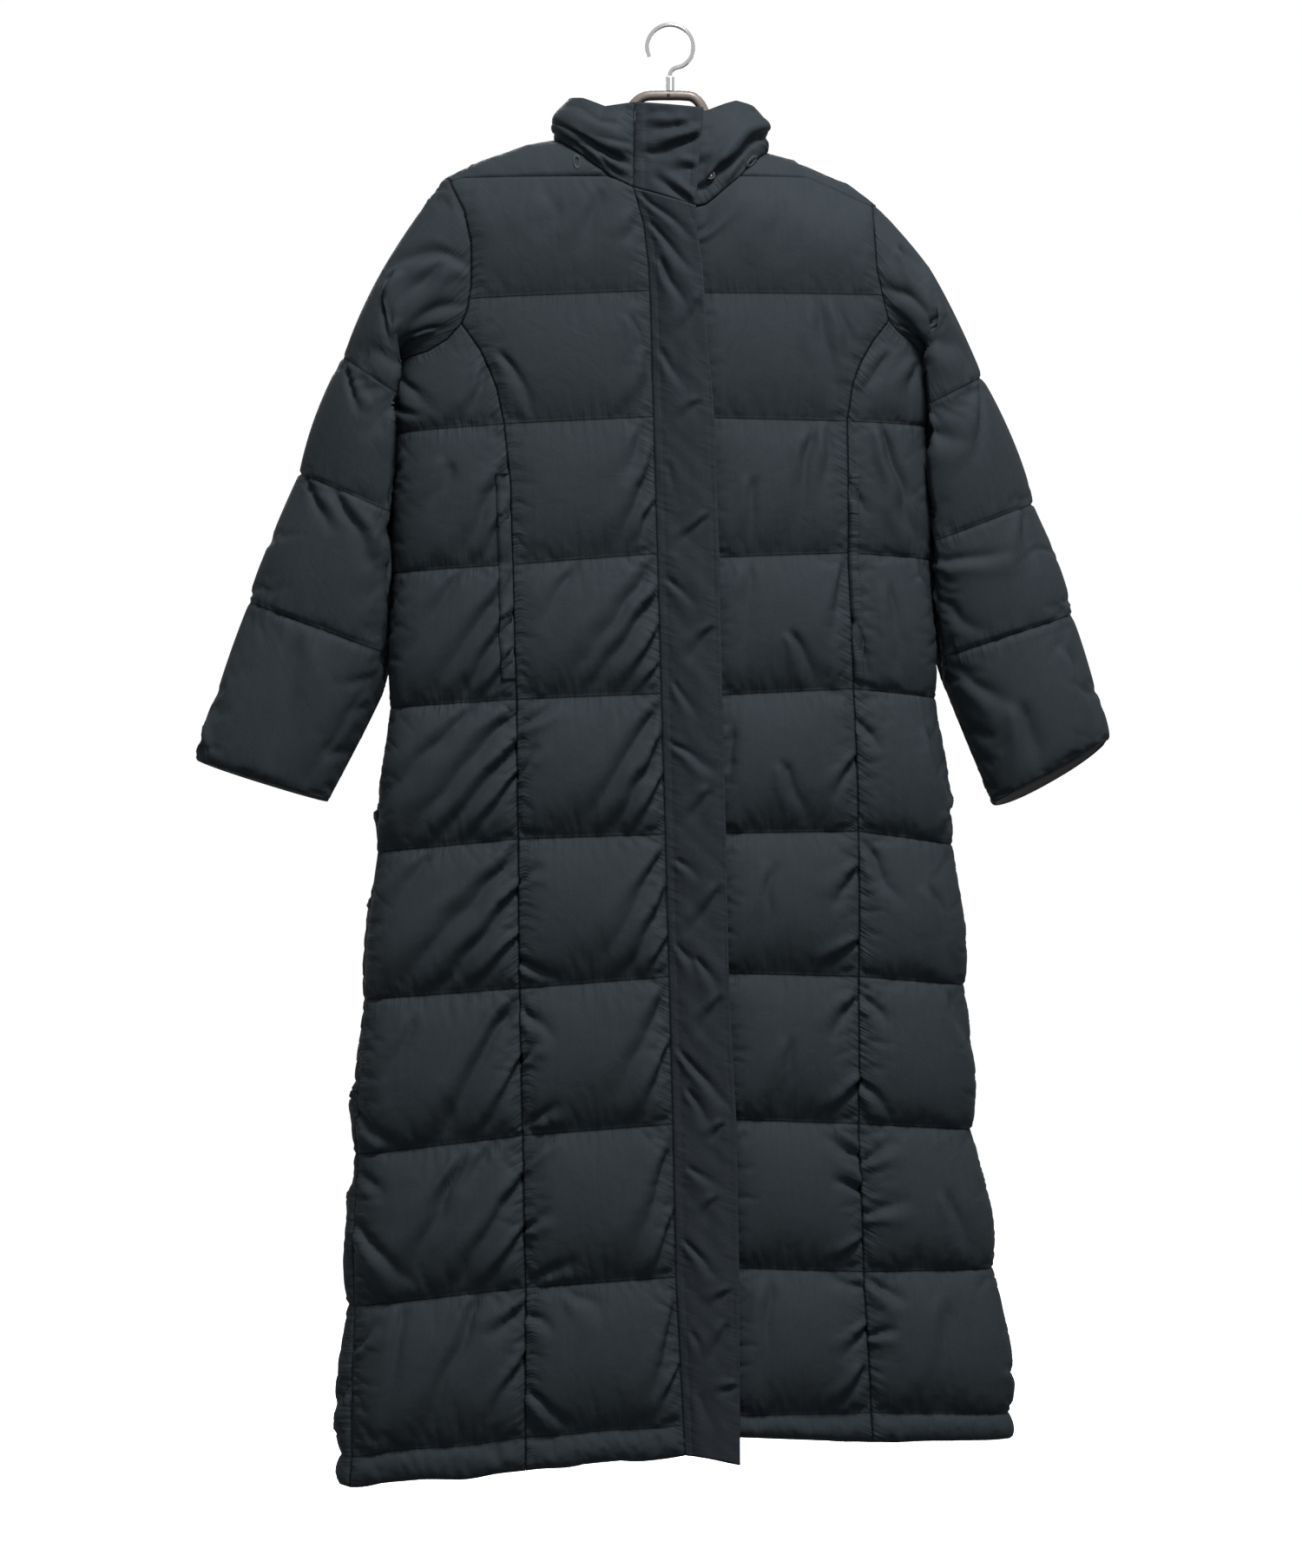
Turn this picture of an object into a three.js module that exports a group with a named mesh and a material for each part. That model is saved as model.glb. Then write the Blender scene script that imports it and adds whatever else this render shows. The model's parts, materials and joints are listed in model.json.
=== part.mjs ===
// Long puffer coat on a hanger. Millimetres; X to the viewer's right, Y away from the viewer, Z up.
// The origin is where the hanger's hook bears on a rod. Sides are the wearer's: right is at -X.
import * as THREE from 'three';

// Walls and seams
const GAP = 0.3;             // between pieces at a seam
const SEAM_GAP = 0.35;       // at the curved seams of sleeves and collar
const SEAM_WALL = 4;         // padded wall where it is stitched down
const FLAT_WALL = 3;         // unpadded wall of placket, underlap and welts
const PUFF = 16;             // how far a channel rises over its stitch lines
const PUFF_REACH = 48;       // distance over which it rises from a seam
const HEM_PUFF = 4;
const BACK_HEM_LIFT = 15;    // how much the back's hem rises in its middle
const YOKE_PUFF = 7;

// Steps across one quilting channel, from its upper stitch line down, and the rise at each
const STEPS = [0, 0.205, 0.4, 0.62, 0.84, 1];
const HEM_STEPS = [0, 0.35, 0.75, 1];

// Hollow of the body in front view: left and right edges and half depth
const BODY = [
  { z: -60, left: -277, right: 264, depth: 54 },
  { z: -357, left: -277, right: 264, depth: 54 },
  { z: -416, left: -281, right: 263, depth: 55 },
  { z: -560, left: -283, right: 265, depth: 55 },
  { z: -702, left: -286, right: 271, depth: 53 },
  { z: -849, left: -299, right: 288, depth: 50 },
  { z: -998, left: -313, right: 301, depth: 48 },
  { z: -1150, left: -322, right: 308, depth: 46 },
  { z: -1307, left: -329, right: 333, depth: 44 },
  { z: -1461, left: -336, right: 350, depth: 43 },
  { z: -1530, left: -342, right: 353, depth: 43 },
];
const ROUNDNESS = 2.5;       // exponent of the body's section

// Shoulder ridges of that hollow
const RIDGE = [
  { x: -240, z: -164 },
  { x: -10, z: -87 },
  { x: 210, z: -187 },
];
const SHOULDER_ROUND = 75;   // height over which the front curves back into the ridge
const SHOULDER_SEAM = { z: -162, underRidge: 6 };

// Heights of the quilting lines at each vertical seam, from the chest to the hem edge
const LINES = [
  { sideR: -286, princessR: -286, frontR: -279, frontL: -281, princessL: -282, sideL: -282 },
  { sideR: -424, princessR: -416, frontR: -409, frontL: -410, princessL: -413, sideL: -416 },
  { sideR: -569, princessR: -561, frontR: -550, frontL: -554, princessL: -549, sideL: -555 },
  { sideR: -709, princessR: -700, frontR: -694, frontL: -696, princessL: -689, sideL: -699 },
  { sideR: -859, princessR: -844, frontR: -839, frontL: -838, princessL: -836, sideL: -852 },
  { sideR: -1011, princessR: -998, frontR: -986, frontL: -982, princessL: -986, sideL: -997 },
  { sideR: -1172, princessR: -1150, frontR: -1138, frontL: -1133, princessL: -1138, sideL: -1147 },
  { sideR: -1329, princessR: -1307, frontR: -1296, frontL: -1286, princessL: -1291, sideL: -1290 },
  { sideR: -1484, princessR: -1462, frontR: -1449, frontL: -1440, princessL: -1437, sideL: -1441 },
  { sideR: -1515, princessR: -1496, frontR: -1480, frontL: -1462, princessL: -1468, sideL: -1466 },
];

// Armholes in front (down to where the princess seam starts) and behind, and their lowest stretch
const ARMHOLE_FRONT = {
  right: [
    { z: -168, x: -226 }, { z: -196, x: -212 }, { z: -229, x: -205 }, { z: -274, x: -205 },
    { z: -298, x: -209 }, { z: -312.65, x: -215 },
  ],
  left: [
    { z: -186, x: 208 }, { z: -214, x: 210 }, { z: -256, x: 213 }, { z: -283, x: 219 }, { z: -308.86, x: 225 },
  ],
};
const ARMHOLE_BACK = {
  right: [
    { z: -163, x: -233 }, { z: -200, x: -222 }, { z: -250, x: -217 }, { z: -300, x: -224 },
    { z: -330, x: -240 }, { z: -346, x: -260 }, { z: -353, x: -277 },
  ],
  left: [
    { z: -187, x: 208 }, { z: -220, x: 209 }, { z: -260, x: 213 }, { z: -305, x: 220 },
    { z: -334, x: 234 }, { z: -350, x: 250 }, { z: -357, x: 264 },
  ],
};
const ARMHOLE_LOW = {
  right: [
    { x: -277, z: -353 }, { x: -259, z: -345.5 }, { x: -242, z: -340 }, { x: -226, z: -328 }, { x: -215, z: -312.65 },
  ],
  left: [
    { x: 225, z: -308.86 }, { x: 232, z: -320 }, { x: 243, z: -331 }, { x: 254, z: -345 }, { x: 264, z: -357 },
  ],
};
const UNDERARM = { right: -353, left: -357 };

// Princess seams
const PRINCESS = {
  right: [
    { z: -312.65, x: -215 }, { z: -322, x: -208 }, { z: -339, x: -196 }, { z: -357, x: -187 },
    { z: -380, x: -178 }, { z: -416, x: -171 }, { z: -479, x: -164 }, { z: -561, x: -162 }, { z: -700, x: -158 },
    { z: -998, x: -155 }, { z: -1150, x: -152 }, { z: -1307, x: -149 }, { z: -1496, x: -149 },
  ],
  left: [
    { z: -308.86, x: 225 }, { z: -331, x: 208 }, { z: -352, x: 196 }, { z: -376, x: 187 }, { z: -413, x: 182 },
    { z: -561, x: 183 }, { z: -700, x: 189 }, { z: -849, x: 194 }, { z: -1150, x: 194 }, { z: -1307, x: 200 },
    { z: -1468, x: 209 },
  ],
};

// How far each side seam lies in front of (+) or behind (-) the fold of the side
const SIDE_SHIFT = {
  right: [{ z: -350, shift: 0 }, { z: -860, shift: 2 }, { z: -1250, shift: 12 }, { z: -1520, shift: 20 }],
  left: [{ z: -350, shift: 0 }, { z: -860, shift: -8 }, { z: -1520, shift: -20 }],
};

// Placket: the seam that holds it and its free edge
const PLACKET = [
  { z: -172, seam: -38, edge: 25 },
  { z: -212, seam: -27, edge: 27 },
  { z: -254, seam: -22, edge: 33 },
  { z: -299, seam: -20, edge: 36 },
  { z: -409, seam: -17, edge: 45 },
  { z: -550, seam: -13, edge: 50 },
  { z: -694, seam: -9, edge: 53 },
  { z: -839, seam: -5, edge: 57 },
  { z: -986, seam: -1, edge: 60 },
  { z: -1138, seam: 3, edge: 68 },
  { z: -1296, seam: 6, edge: 71 },
  { z: -1489, seam: 16, edge: 72 },
];
const PLACKET_LIFT = [{ f: 0, lift: 0.4 }, { f: 0.3, lift: 6 }, { f: 0.65, lift: 11 }, { f: 1, lift: 14.5 }];
const PLACKET_COVERS = 12;   // how far the left front runs under the placket's free edge
const UNDERLAP_START = 13;   // from the placket's seam to the underlap's edge

// Neck seam in front, where the shoulder seams meet it, and behind
const NECK_FRONT = [
  { x: -62, z: -162 }, { x: -38, z: -173 }, { x: 13, z: -196 }, { x: 36, z: -191 }, { x: 70, z: -162 },
];
const NECK_SIDE = { right: -115, left: 96 };
const NECK_BACK = { x: -8, z: -132 };

// Collar: its top edge is an oval ring, uneven in height
const COLLAR_TOP = { x: -9, halfWidth: 92, halfDepth: 46 };
const COLLAR_HEIGHT = [
  { x: -101, z: -76 }, { x: -88, z: -78 }, { x: -66, z: -88 }, { x: -35, z: -84 }, { x: 36, z: -93 },
  { x: 55, z: -85 }, { x: 66, z: -81 }, { x: 83, z: -84 },
];
const COLLAR_BACK_HEIGHT = -93;
const COLLAR_STEPS = [0, 0.14, 0.36, 0.6, 0.82, 1];
const COLLAR_PUFF = 7;
const COLLAR_FLAP_LEAN = 11; // how far its free edge runs out to the side from neck to top

// Sleeves: outer and inner edges in front view at each quilting line, with depth and place in Y
const SLEEVE = {
  right: [
    { outX: -298, outZ: -249, inX: -291, inZ: -356, depth: 100, y: 4 },
    { outX: -336, outZ: -344, inX: -262, inZ: -400, depth: 112, y: 14 },
    { outX: -382, outZ: -465, inX: -253, inZ: -522, depth: 116, y: 22 },
    { outX: -435, outZ: -599, inX: -284, inZ: -656, depth: 96, y: 18 },
    { outX: -492, outZ: -763, inX: -356, inZ: -805, depth: 60, y: 2 },
  ],
  left: [
    { outX: 263, outZ: -254, inX: 279, inZ: -361, depth: 100, y: 4 },
    { outX: 320, outZ: -366, inX: 248, inZ: -406, depth: 112, y: 14 },
    { outX: 374, outZ: -497, inX: 243, inZ: -548, depth: 116, y: 22 },
    { outX: 415, outZ: -612, inX: 276, inZ: -658, depth: 96, y: 18 },
    { outX: 453, outZ: -742, inX: 336, inZ: -808, depth: 60, y: 2 },
  ],
};
const SLEEVE_PUFF = 9;
const UNDERARM_FOLD = 20;    // how far a sleeve stands off its underarm seam before it turns down
const CAP_LIFT = 9;          // how far its cap stands over the line from the shoulder to its outer edge
const CUFF_DROP = { right: 3, left: 12 };   // how much lower the cuff hangs behind
const SIDE_CLEARANCE = { x: 20, y: 30 };   // room kept for the body's padded side

// Pockets in the princess seams
const POCKET = { top: -465, bottom: -682, wall: 2.4, clear: 0.5 };

// Snap and hood loops at the neck
const SNAP = { x: 41, z: -160, radius: 5.2, height: 2.2 };
const HOOD_LOOP = { halfWidth: 3.2, halfHeight: 7, cord: 1.1 };
const HOOD_LOOPS = { right: { x: -96, z: -146 }, left: { x: 83, z: -144 } };

// Hanger
const HANGER_ARMS = { right: [-205, -98], left: [81, 182], underRidge: 6.9 };
const HANGER_ARCH = [
  { x: -46, z: -97 }, { x: -32, z: -77 }, { x: -27, z: -71.5 },
  { x: 23, z: -71.5 }, { x: 27.5, z: -76 }, { x: 39, z: -97 },
];
const HANGER_BAND = { height: 9, depth: 12, bevel: 3 };
const HOOK = { wire: 4.6, bend: 24, ferruleRadius: 4.5, ferruleTop: -52, ferruleBottom: -66.7 };

// Colours from the photo
const COLOURS = {
  shell: { color: 0x3b4044, roughness: 0.85, metalness: 0 },
  placket: { color: 0x35393e, roughness: 0.8, metalness: 0 },
  cord: { color: 0x23262a, roughness: 0.9, metalness: 0 },
  snap: { color: 0x8a8a86, roughness: 0.35, metalness: 1 },
  hanger: { color: 0x5f5852, roughness: 0.5, metalness: 0 },
  chrome: { color: 0xd0d2d4, roughness: 0.15, metalness: 1 },
};

const coat = new THREE.Group();
coat.name = 'coat';

function addMesh(name, geometry, look) {
  const mesh = new THREE.Mesh(geometry, new THREE.MeshStandardMaterial(COLOURS[look]));
  mesh.name = name;
  coat.add(mesh);
  return mesh;
}

const lerp = (a, b, t) => a + (b - a) * t;
const clamp = (v, low, high) => Math.min(high, Math.max(low, v));

// Value of one column of a table at a place along another, straight between rows
function sample(table, key, place, column) {
  const rising = table[table.length - 1][key] > table[0][key];
  let i = 0;
  while (i < table.length - 2 && (rising ? place > table[i + 1][key] : place < table[i + 1][key])) i++;
  const t = clamp((place - table[i][key]) / (table[i + 1][key] - table[i][key]), 0, 1);
  return lerp(table[i][column], table[i + 1][column], t);
}

// Section of the body's hollow at a height
function section(z) {
  const left = sample(BODY, 'z', z, 'left');
  const right = sample(BODY, 'z', z, 'right');
  return { middle: (left + right) / 2, half: (right - left) / 2, depth: sample(BODY, 'z', z, 'depth') };
}

// Arc lengths round a quarter of that section, from its front to its side
const QUARTER_STEPS = 90;
const quarters = new Map();
function quarter(z) {
  const key = z.toFixed(4);
  if (quarters.has(key)) return quarters.get(key);
  const { half, depth } = section(z);
  const lengths = [0];
  const xs = [0];
  const ys = [-depth];
  for (let i = 1; i <= QUARTER_STEPS; i++) {
    const angle = (i / QUARTER_STEPS) * Math.PI / 2;
    xs.push(half * Math.sin(angle) ** (2 / ROUNDNESS));
    ys.push(i === QUARTER_STEPS ? 0 : -depth * Math.cos(angle) ** (2 / ROUNDNESS));
    lengths.push(lengths[i - 1] + Math.hypot(xs[i] - xs[i - 1], ys[i] - ys[i - 1]));
  }
  const result = { lengths, xs, ys, total: lengths[QUARTER_STEPS] };
  quarters.set(key, result);
  return result;
}

function along(from, to, value) {
  let i = 0;
  while (i < QUARTER_STEPS - 1 && value > from[i + 1]) i++;
  return lerp(to[i], to[i + 1], clamp((value - from[i]) / (from[i + 1] - from[i]), 0, 1));
}

// Height of the shoulder ridge, and how far the cloth has curved back towards it (1 far below it)
const ridge = (x) => sample(RIDGE, 'x', x, 'z');
function closing(x, z) {
  const below = clamp(1 - (ridge(x) - z) / SHOULDER_ROUND, 0, 1);
  return Math.sqrt(1 - below * below);
}

// Point of the hollow at an arc length round it, positive to the viewer's right from the front's middle
function bodyPoint(arc, z) {
  const q = quarter(z);
  let a = arc % (4 * q.total);
  if (a > 2 * q.total) a -= 4 * q.total;
  if (a < -2 * q.total) a += 4 * q.total;
  const side = Math.sign(a) || 1;
  const behind = Math.abs(a) > q.total;
  const reach = behind ? 2 * q.total - Math.abs(a) : Math.abs(a);
  const x = section(z).middle + side * along(q.lengths, q.xs, reach);
  const y = along(q.lengths, q.ys, reach) * (behind ? -1 : 1);
  return new THREE.Vector3(x, y * closing(x, z), z);
}

function frontArc(x, z) {
  const offset = x - section(z).middle;
  const q = quarter(z);
  return Math.sign(offset) * along(q.xs, q.lengths, Math.min(Math.abs(offset), section(z).half));
}
const backArc = (x, z) => -2 * quarter(z).total - frontArc(x, z);

// Outward normal of the hollow, from how its implicit form changes
function bodyForm(x, y, z) {
  const { middle, half, depth } = section(z);
  const across = Math.max(0, 1 - Math.abs((x - middle) / half) ** ROUNDNESS) ** (2 / ROUNDNESS);
  const below = clamp(1 - (ridge(x) - z) / SHOULDER_ROUND, 0, 2);
  return (y / depth) ** 2 - across * (1 - below * below);
}
function bodyNormal(p) {
  const d = 0.02;
  return new THREE.Vector3(
    bodyForm(p.x + d, p.y, p.z) - bodyForm(p.x - d, p.y, p.z),
    bodyForm(p.x, p.y + d, p.z) - bodyForm(p.x, p.y - d, p.z),
    bodyForm(p.x, p.y, p.z + d) - bodyForm(p.x, p.y, p.z - d),
  ).normalize();
}

// Rise of a channel between its stitch lines (fullest below its middle), and near a seam beside it
const channelRise = (v) => Math.sin(Math.PI * v ** 1.15) ** 0.7;
const seamRise = (distance) => 1 - (1 - clamp(distance / PUFF_REACH, 0, 1)) ** 2.2;

const outerPoint = (node) => node.point.clone().addScaledVector(node.normal, node.wall);

// Closed wall over a sheet of patches. A node holds the plain inner point, the wall's direction and its
// thickness there; nodes of neighbouring patches in the same place are one.
function wallGeometry(patches) {
  const nodes = [];
  const index = new Map();
  const triangles = [];
  const nodeId = (node) => {
    const key = node.point.toArray().map((c) => Math.round(c * 200)).join();
    if (!index.has(key)) {
      index.set(key, nodes.length);
      nodes.push(node);
    }
    return index.get(key);
  };
  for (const patch of patches) {
    const ids = patch.map((row) => row.map(nodeId));
    for (let r = 0; r + 1 < ids.length; r++) {
      for (let c = 0; c + 1 < ids[r].length; c++) {
        const [a, b, e, d] = [ids[r][c], ids[r][c + 1], ids[r + 1][c + 1], ids[r + 1][c]];
        const lean = outerPoint(nodes[a]).distanceTo(outerPoint(nodes[e]))
          < outerPoint(nodes[b]).distanceTo(outerPoint(nodes[d]));
        triangles.push(...(lean ? [[a, d, e], [a, e, b]] : [[a, d, b], [b, d, e]]));
      }
    }
  }
  const kept = triangles.filter(([a, b, c]) => a !== b && b !== c && a !== c);
  const edges = new Map();
  for (const [a, b, c] of kept) {
    for (const [from, to] of [[a, b], [b, c], [c, a]]) edges.set(`${from},${to}`, [from, to]);
  }
  const count = nodes.length;
  const faces = [];
  for (const [a, b, c] of kept) faces.push(a + count, b + count, c + count, a, c, b);
  for (const [from, to] of edges.values()) {
    if (edges.has(`${to},${from}`)) continue;
    const [a, b] = [nodes[from], nodes[to]];
    const lean = a.point.distanceTo(outerPoint(b)) < b.point.distanceTo(outerPoint(a));
    if (lean) faces.push(from, to, to + count, from, to + count, from + count);
    else faces.push(from, to, from + count, to, to + count, from + count);
  }
  const positions = [];
  for (const node of nodes) positions.push(...node.point.toArray());
  for (const node of nodes) positions.push(...outerPoint(node).toArray());
  const geometry = new THREE.BufferGeometry();
  geometry.setAttribute('position', new THREE.Float32BufferAttribute(positions, 3));
  geometry.setIndex(faces);
  geometry.computeVertexNormals();
  return geometry;
}

// Columns of a side panel, closer together beside its seams and closest beside the princess seam
const SIDE_COLUMNS = { right: [0, 0.12, 0.37, 0.65, 0.92, 1], left: [0, 0.08, 0.35, 0.63, 0.88, 1] };

// Rows of nodes over a stretch of the body. Each row gives its heights at both ends; the edges give
// the arc at a height. Wall thickness rises with the channel and away from the edges that are seams.
function panelPatch({ rows, columns, leftEdge, rightEdge, puff = PUFF, top = null }) {
  return rows.map((row) => columns.map((f) => {
    const z = row.heightAt ? row.heightAt(f) : lerp(row.left, row.right, f);
    const zLeft = row.heightAt ? row.heightAt(0) : row.left;
    const zRight = row.heightAt ? row.heightAt(1) : row.right;
    const from = leftEdge(zLeft);
    const to = rightEdge(zRight);
    const point = bodyPoint(lerp(from, to, f), z);
    const reach = Math.min(f, 1 - f) * Math.abs(to - from);
    const wall = SEAM_WALL + (row.puff ?? puff) * row.rise * seamRise(reach);
    return { point, normal: bodyNormal(point), wall };
  }));
}

// Rows between two quilting lines, or from line to line down to the hem
function channelRows(i, leftKey, rightKey, steps = STEPS) {
  const isHem = i === LINES.length - 2;
  return (isHem ? HEM_STEPS : steps).map((v) => ({
    v,
    left: lerp(LINES[i][leftKey], LINES[i + 1][leftKey], v),
    right: lerp(LINES[i][rightKey], LINES[i + 1][rightKey], v),
    rise: v === 0 || v === 1 ? 0 : channelRise(v),
    puff: isHem ? HEM_PUFF : PUFF,
  }));
}
function rowsFrom(first, leftKey, rightKey) {
  const rows = [];
  for (let i = first; i + 1 < LINES.length; i++) {
    rows.push(...channelRows(i, leftKey, rightKey).slice(i === first ? 0 : 1));
  }
  return rows;
}

// Vertical seams as arcs of the body, each piece half a gap short of them
const half = GAP / 2;
const sideArc = {
  right: (z) => -(quarter(z).total - sample(SIDE_SHIFT.right, 'z', z, 'shift')),
  left: (z) => quarter(z).total - sample(SIDE_SHIFT.left, 'z', z, 'shift'),
};
const outerSeam = (side) => (z) => {
  const table = z > ARMHOLE_FRONT[side].at(-1).z ? ARMHOLE_FRONT[side] : PRINCESS[side];
  return frontArc(sample(table, 'z', z, 'x'), z);
};
const placketSeam = (z) => frontArc(sample(PLACKET, 'z', z, 'seam'), z);
const leftFrontEdge = (z) => frontArc(sample(PLACKET, 'z', z, 'edge') - PLACKET_COVERS, z);

// Height of the top edge of a front: shoulder seam, then neck seam
function frontTop(x) {
  const inNeck = x > NECK_FRONT[0].x && x < NECK_FRONT.at(-1).x;
  if (inNeck) return sample(NECK_FRONT, 'x', x, 'z') - half;
  return Math.min(SHOULDER_SEAM.z, ridge(x) - SHOULDER_SEAM.underRidge) - half;
}

// Centre panel of a front: from the shoulder and neck seams down to the hem
function frontCentre(side) {
  const isRight = side === 'right';
  const armX = ARMHOLE_FRONT[side][0].x;
  const frontX = isRight ? NECK_FRONT[1].x : NECK_FRONT[2].x;
  const [fromX, toX] = isRight ? [armX, frontX] : [frontX, armX];
  const neckX = isRight ? NECK_FRONT[0].x : NECK_FRONT.at(-1).x;
  const neckColumn = (neckX - fromX) / (toX - fromX);
  const columns = isRight ? [0, 0.12, 0.37, 0.65, neckColumn, 1] : [0, 0.12, neckColumn, 0.5, 0.7, 0.88, 1];
  const [leftKey, rightKey] = isRight ? ['princessR', 'frontR'] : ['frontL', 'princessL'];
  const chest = LINES[0];
  const topRows = STEPS.slice(0, -1).map((v) => ({
    heightAt: (f) => lerp(frontTop(lerp(fromX, toX, f)), lerp(chest[leftKey], chest[rightKey], f), v),
    rise: v === 0 ? 0 : channelRise(v),
  }));
  const rows = [...topRows, ...rowsFrom(0, leftKey, rightKey)];
  return panelPatch({
    rows,
    columns,
    leftEdge: isRight ? (z) => outerSeam(side)(z) + half : (z) => leftFrontEdge(z) + half,
    rightEdge: isRight ? (z) => placketSeam(z) - half : (z) => outerSeam(side)(z) - half,
  });
}

// Side panel of a front: from the low stretch of the armhole down to the hem
function frontSide(side) {
  const isRight = side === 'right';
  const low = ARMHOLE_LOW[side];
  const [leftKey, rightKey] = isRight ? ['sideR', 'princessR'] : ['princessL', 'sideL'];
  const lowSteps = STEPS.slice(1).map((v) => (v - STEPS[1]) / (1 - STEPS[1]));
  const chestRows = lowSteps.slice(0, -1).map((v) => ({
    heightAt: (f) => {
      const top = sample(low, 'x', lerp(low[0].x, low.at(-1).x, f), 'z');
      return lerp(top, lerp(LINES[1][leftKey], LINES[1][rightKey], f), v);
    },
    rise: v === 0 ? 0 : channelRise(v),
  }));
  return panelPatch({
    rows: [...chestRows, ...rowsFrom(1, leftKey, rightKey)],
    columns: SIDE_COLUMNS[side],
    leftEdge: isRight ? (z) => sideArc.right(z) + half : (z) => outerSeam(side)(z - 0.01) + half,
    rightEdge: isRight ? (z) => outerSeam(side)(z - 0.01) - half : (z) => sideArc.left(z) - half,
  });
}

// Back: from the hem up to the chest line, then up to the ridge and the neck
const BACK_COLUMNS = [0, 0.04, 0.1, 0.17, 0.25, 0.36, 0.46, 0.56, 0.67, 0.76, 0.84, 0.9, 0.96, 1];
const SHOULDER_COLUMNS = 4;  // spaces between columns that run over each shoulder
const BACK_RISE_STEPS = [0, 0.2, 0.4, 0.6, 0.8, 1];
const backEdge = {
  right: (z) => (z > UNDERARM.right ? backArc(sample(ARMHOLE_BACK.right, 'z', z, 'x'), z) : sideArc.right(z)),
  left: (z) => (z > UNDERARM.left
    ? backArc(sample(ARMHOLE_BACK.left, 'z', z, 'x'), z)
    : sideArc.left(z) - 4 * quarter(z).total),
};

function backLower() {
  const lowSteps = STEPS.slice(1).map((v) => (v - STEPS[1]) / (1 - STEPS[1]));
  const armRows = [0, 1 / 3, 2 / 3].map((v) => ({
    left: lerp(LINES[0].sideR, UNDERARM.right, v),
    right: lerp(LINES[0].sideL, UNDERARM.left, v),
    rise: v === 0 ? 0 : channelRise(v * 0.5),
  }));
  const sideRows = lowSteps.slice(0, -1).map((v) => ({
    left: lerp(UNDERARM.right, LINES[1].sideR, v),
    right: lerp(UNDERARM.left, LINES[1].sideL, v),
    rise: channelRise(0.5 + v * 0.5),
  }));
  const below = rowsFrom(1, 'sideR', 'sideL');
  const hem = below.length - HEM_STEPS.length;
  below.slice(hem).forEach((row, i) => {
    const lift = BACK_HEM_LIFT * (i + 1) / HEM_STEPS.length;
    row.heightAt = (f) => lerp(row.left, row.right, f) + lift * Math.sin(Math.PI * f);
  });
  return panelPatch({
    rows: [...armRows, ...sideRows, ...below],
    columns: BACK_COLUMNS,
    leftEdge: (z) => backEdge.right(z) - half,
    rightEdge: (z) => backEdge.left(z) + half,
  });
}

// Top ends of the back's columns: over the shoulders on the ridge, between them on the back neck seam
function backTops() {
  const last = BACK_COLUMNS.length - 1;
  const armRight = ARMHOLE_BACK.right[0].x;
  const armLeft = ARMHOLE_BACK.left[0].x;
  return BACK_COLUMNS.map((f, j) => {
    if (j <= SHOULDER_COLUMNS) {
      const x = lerp(armRight, NECK_SIDE.right, j / SHOULDER_COLUMNS);
      return { x, z: ridge(x) };
    }
    if (j >= last - SHOULDER_COLUMNS) {
      const x = lerp(armLeft, NECK_SIDE.left, (last - j) / SHOULDER_COLUMNS);
      return { x, z: ridge(x) };
    }
    const t = (j - SHOULDER_COLUMNS) / (last - 2 * SHOULDER_COLUMNS);
    const x = lerp(NECK_SIDE.right, NECK_SIDE.left, t);
    const end = t < 0.5 ? NECK_SIDE.right : NECK_SIDE.left;
    const dip = (1 - Math.abs((x - NECK_BACK.x) / (end - NECK_BACK.x)) ** 2);
    return { x, z: lerp(ridge(end), NECK_BACK.z, dip) };
  });
}

function backNode(x, z, wall) {
  const point = bodyPoint(backArc(x, z), z);
  return { point, normal: bodyNormal(point), wall };
}

// One channel runs from the chest line over the shoulder, so its rise is shared with the yoke
const YOKE_START = 0.8;
function backUpper(tops, chestRow) {
  const last = BACK_COLUMNS.length - 1;
  return [...BACK_RISE_STEPS].reverse().map((q) => tops.map((top, j) => {
    if (q === 0) return chestRow[j];
    const start = chestRow[j].point;
    const z = lerp(start.z, top.z, Math.sin(q * Math.PI / 2));
    const overShoulder = j <= SHOULDER_COLUMNS || j >= last - SHOULDER_COLUMNS;
    let x = lerp(start.x, top.x, q);
    if (j === 0) x = sample(ARMHOLE_BACK.right, 'z', z, 'x') + half;
    if (j === last) x = sample(ARMHOLE_BACK.left, 'z', z, 'x') - half;
    const rise = channelRise(overShoulder ? q * YOKE_START : q);
    const edge = Math.min(j, last - j) === 0 ? 0 : seamRise(20 + 14 * Math.min(j, last - j));
    const neck = overShoulder && Math.min(j, last - j) < SHOULDER_COLUMNS ? 1 : 1 - q ** 3;
    const wall = SEAM_WALL + YOKE_PUFF * rise * edge * neck;
    return backNode(x, z, wall);
  }));
}

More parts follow.
